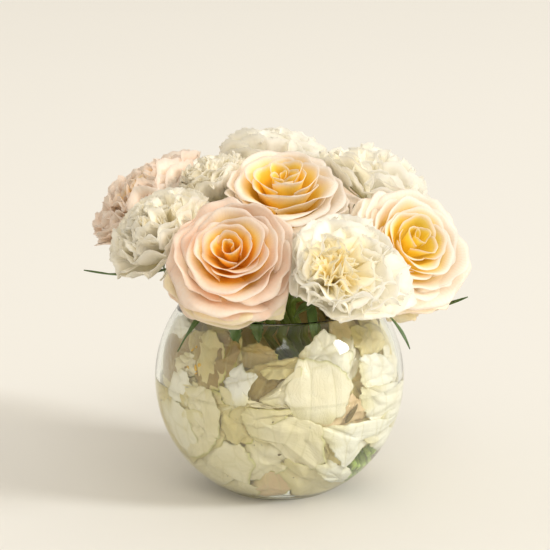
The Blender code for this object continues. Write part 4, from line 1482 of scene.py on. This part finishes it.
class FLOWERS_OT_roses(bpy.types.Operator):
    """Build each rose from a spiral of curled petals"""

    bl_idname = "flowers.roses"
    bl_label = "Roses"

    def execute(self, context):
        outside = rose_material("rose_petal_outside", paler=0.75)
        inside = rose_material("rose_petal_inside", paler=0.34)
        sheet = flat_sheet(*ROSE_SHEET)
        fan = flat_sheet(*FAN_SHEET)
        for bloom in BLOOMS:
            if bloom.kind == "rose":
                frilled = LOOKS[bloom.name].frilled
                shape, count = (fan, sizes().carnation_petals) if frilled else (sheet, sizes().rose_petals)
                bloom_head(bloom, shape, count, sizes().rose_blade, outside, inside)
        remove(sheet)
        remove(fan)
        return {"FINISHED"}


class FLOWERS_OT_carnations(bpy.types.Operator):
    """Build each carnation from a dome of ruffled, toothed petals"""

    bl_idname = "flowers.carnations"
    bl_label = "Carnations"

    def execute(self, context):
        material = carnation_material()
        sheet = flat_sheet(*FAN_SHEET)
        for bloom in BLOOMS:
            if bloom.kind == "carnation":
                bloom_head(bloom, sheet, sizes().carnation_petals, sizes().carnation_blade, material)
        remove(sheet)
        return {"FINISHED"}


class FLOWERS_OT_greens(bpy.types.Operator):
    """Grow each bloom's stem, cup, sepals and leaves"""

    bl_idname = "flowers.greens"
    bl_label = "Stems and Leaves"

    def execute(self, context):
        tint = colours()
        materials = [
            green_material("stem_green_satin", tuple(tint.stem_green), speckle=1.7, bump=0.00006),
            green_material("leaf_green_satin", tuple(tint.leaf_green), speckle=1.9, bump=0.00008),
            green_material("fresh_cut_green", tuple(tint.cut_green), speckle=1.3, bump=0.00010),
        ]
        short, long = flat_sheet(*SEPAL_SHEET), flat_sheet(*LEAF_SHEET)
        for bloom in BLOOMS:
            greens(bloom, short, long, materials)
        remove(short)
        remove(long)
        return {"FINISHED"}


class FLOWERS_OT_loose_petals(bpy.types.Operator):
    """Pack loose petals between the water and the glass"""

    bl_idname = "flowers.loose_petals"
    bl_label = "Loose Petals"

    def execute(self, context):
        material = loose_material()
        sheets = {name: flat_sheet(*faces) for name, faces in LOOSE_SHEETS.items()}
        draw = random.Random(5)
        layers = {"low": [], "middle": [], "high": []}
        for petal in FRONT_PETALS + ring_petals():
            height = sum(corner[1] for corner in petal.outline) / len(petal.outline)
            layer = "low" if height < LOW_LAYER_TOP else "middle" if height < MIDDLE_LAYER_TOP else "high"
            sheet = sheets[petal.sheet]
            u, v = sheet_marks(sheet)
            layers[layer].append(shaped_copy(sheet, loose_points(u, v, petal, draw), tint=petal.tint))
        for sheet in sheets.values():
            remove(sheet)
        for number, (layer, petals) in enumerate(layers.items()):
            if not petals:
                raise RuntimeError(f"no loose petals in the {layer} layer")
            piece = dress(joined("loose_petals_" + layer, petals), "loose_petal", material)
            thickened(piece, sizes().loose_blade)
            stands_for = [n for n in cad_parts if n.startswith(f"loose_petal_{number + 1}_")]
            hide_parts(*stands_for)
        return {"FINISHED"}


class FLOWERS_OT_flecks(bpy.types.Operator):
    """Scatter the seeds, stamens and air bubbles that lie on the petals and the glass"""

    bl_idname = "flowers.flecks"
    bl_label = "Seeds, Stamens and Bubbles"

    def execute(self, context):
        seeds = [pebble(fleck, depth=0.0006, thickness=0.0002) for fleck in FLECKS]
        seeds.append(pebble(SEPAL_TIP, depth=0.0012, thickness=0.0005))
        brown = mottled_material("seed_brown", srgb(96, 74, 38), srgb(132, 112, 56), 0.5, 900)
        dress(joined("seeds", seeds), "loose_petal", brown)
        stamens = [pebble(stamen, depth=0.0008, thickness=0.0005) for stamen in STAMENS]
        yellow = mottled_material("stamen_yellow", srgb(236, 196, 52), srgb(214, 160, 40), 0.6, 900)
        dress(joined("stamens", stamens), "loose_petal", yellow)
        draw = random.Random(3)
        bubbles = []
        for _ in range(BUBBLE_COUNT):
            size = draw.uniform(0.0002, 0.0005)
            spot = Fleck(draw.uniform(-180, 180), draw.uniform(14, 66), size, size, 0)
            bubbles.append(pebble(spot, depth=size + 0.0001, thickness=size, sides=12, rings=8))
        air = clear_material("air_bubble", (1, 1, 1), BUBBLE_BENDS, (1, 1, 1))
        dress(joined("air_bubbles", bubbles), "water", air)
        return {"FINISHED"}


class FLOWERS_PT_arrangement(bpy.types.Panel):
    """The sidebar panel with the sizes, the colours and one button for each group of pieces"""

    bl_idname = "FLOWERS_PT_arrangement"
    bl_label = "Flower Arrangement"
    bl_space_type = "VIEW_3D"
    bl_region_type = "UI"
    bl_category = "Flowers"

    def draw(self, context):
        layout = self.layout
        for group in (context.scene.arrangement_sizes, context.scene.arrangement_colours):
            box = layout.box()
            for name in group.__annotations__:
                box.prop(group, name)
        for operator in OPERATORS:
            layout.operator(operator.bl_idname)


OPERATORS = (
    FLOWERS_OT_stage,
    FLOWERS_OT_glass_bowl,
    FLOWERS_OT_water,
    FLOWERS_OT_loose_petals,
    FLOWERS_OT_flecks,
    FLOWERS_OT_greens,
    FLOWERS_OT_roses,
    FLOWERS_OT_carnations,
)
CLASSES = (ArrangementSizes, ArrangementColours, *OPERATORS, FLOWERS_PT_arrangement)


def register():
    for kind in CLASSES:
        bpy.utils.register_class(kind)
    bpy.types.Scene.arrangement_sizes = bpy.props.PointerProperty(type=ArrangementSizes)
    bpy.types.Scene.arrangement_colours = bpy.props.PointerProperty(type=ArrangementColours)


def unregister():
    del bpy.types.Scene.arrangement_colours
    del bpy.types.Scene.arrangement_sizes
    for kind in reversed(CLASSES):
        bpy.utils.unregister_class(kind)


def main():
    """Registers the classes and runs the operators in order."""
    register()
    bpy.ops.flowers.stage()
    bpy.ops.flowers.glass_bowl()
    bpy.ops.flowers.water()
    bpy.ops.flowers.loose_petals()
    bpy.ops.flowers.flecks()
    bpy.ops.flowers.greens()
    bpy.ops.flowers.roses()
    bpy.ops.flowers.carnations()


if __name__ == "__main__":
    main()
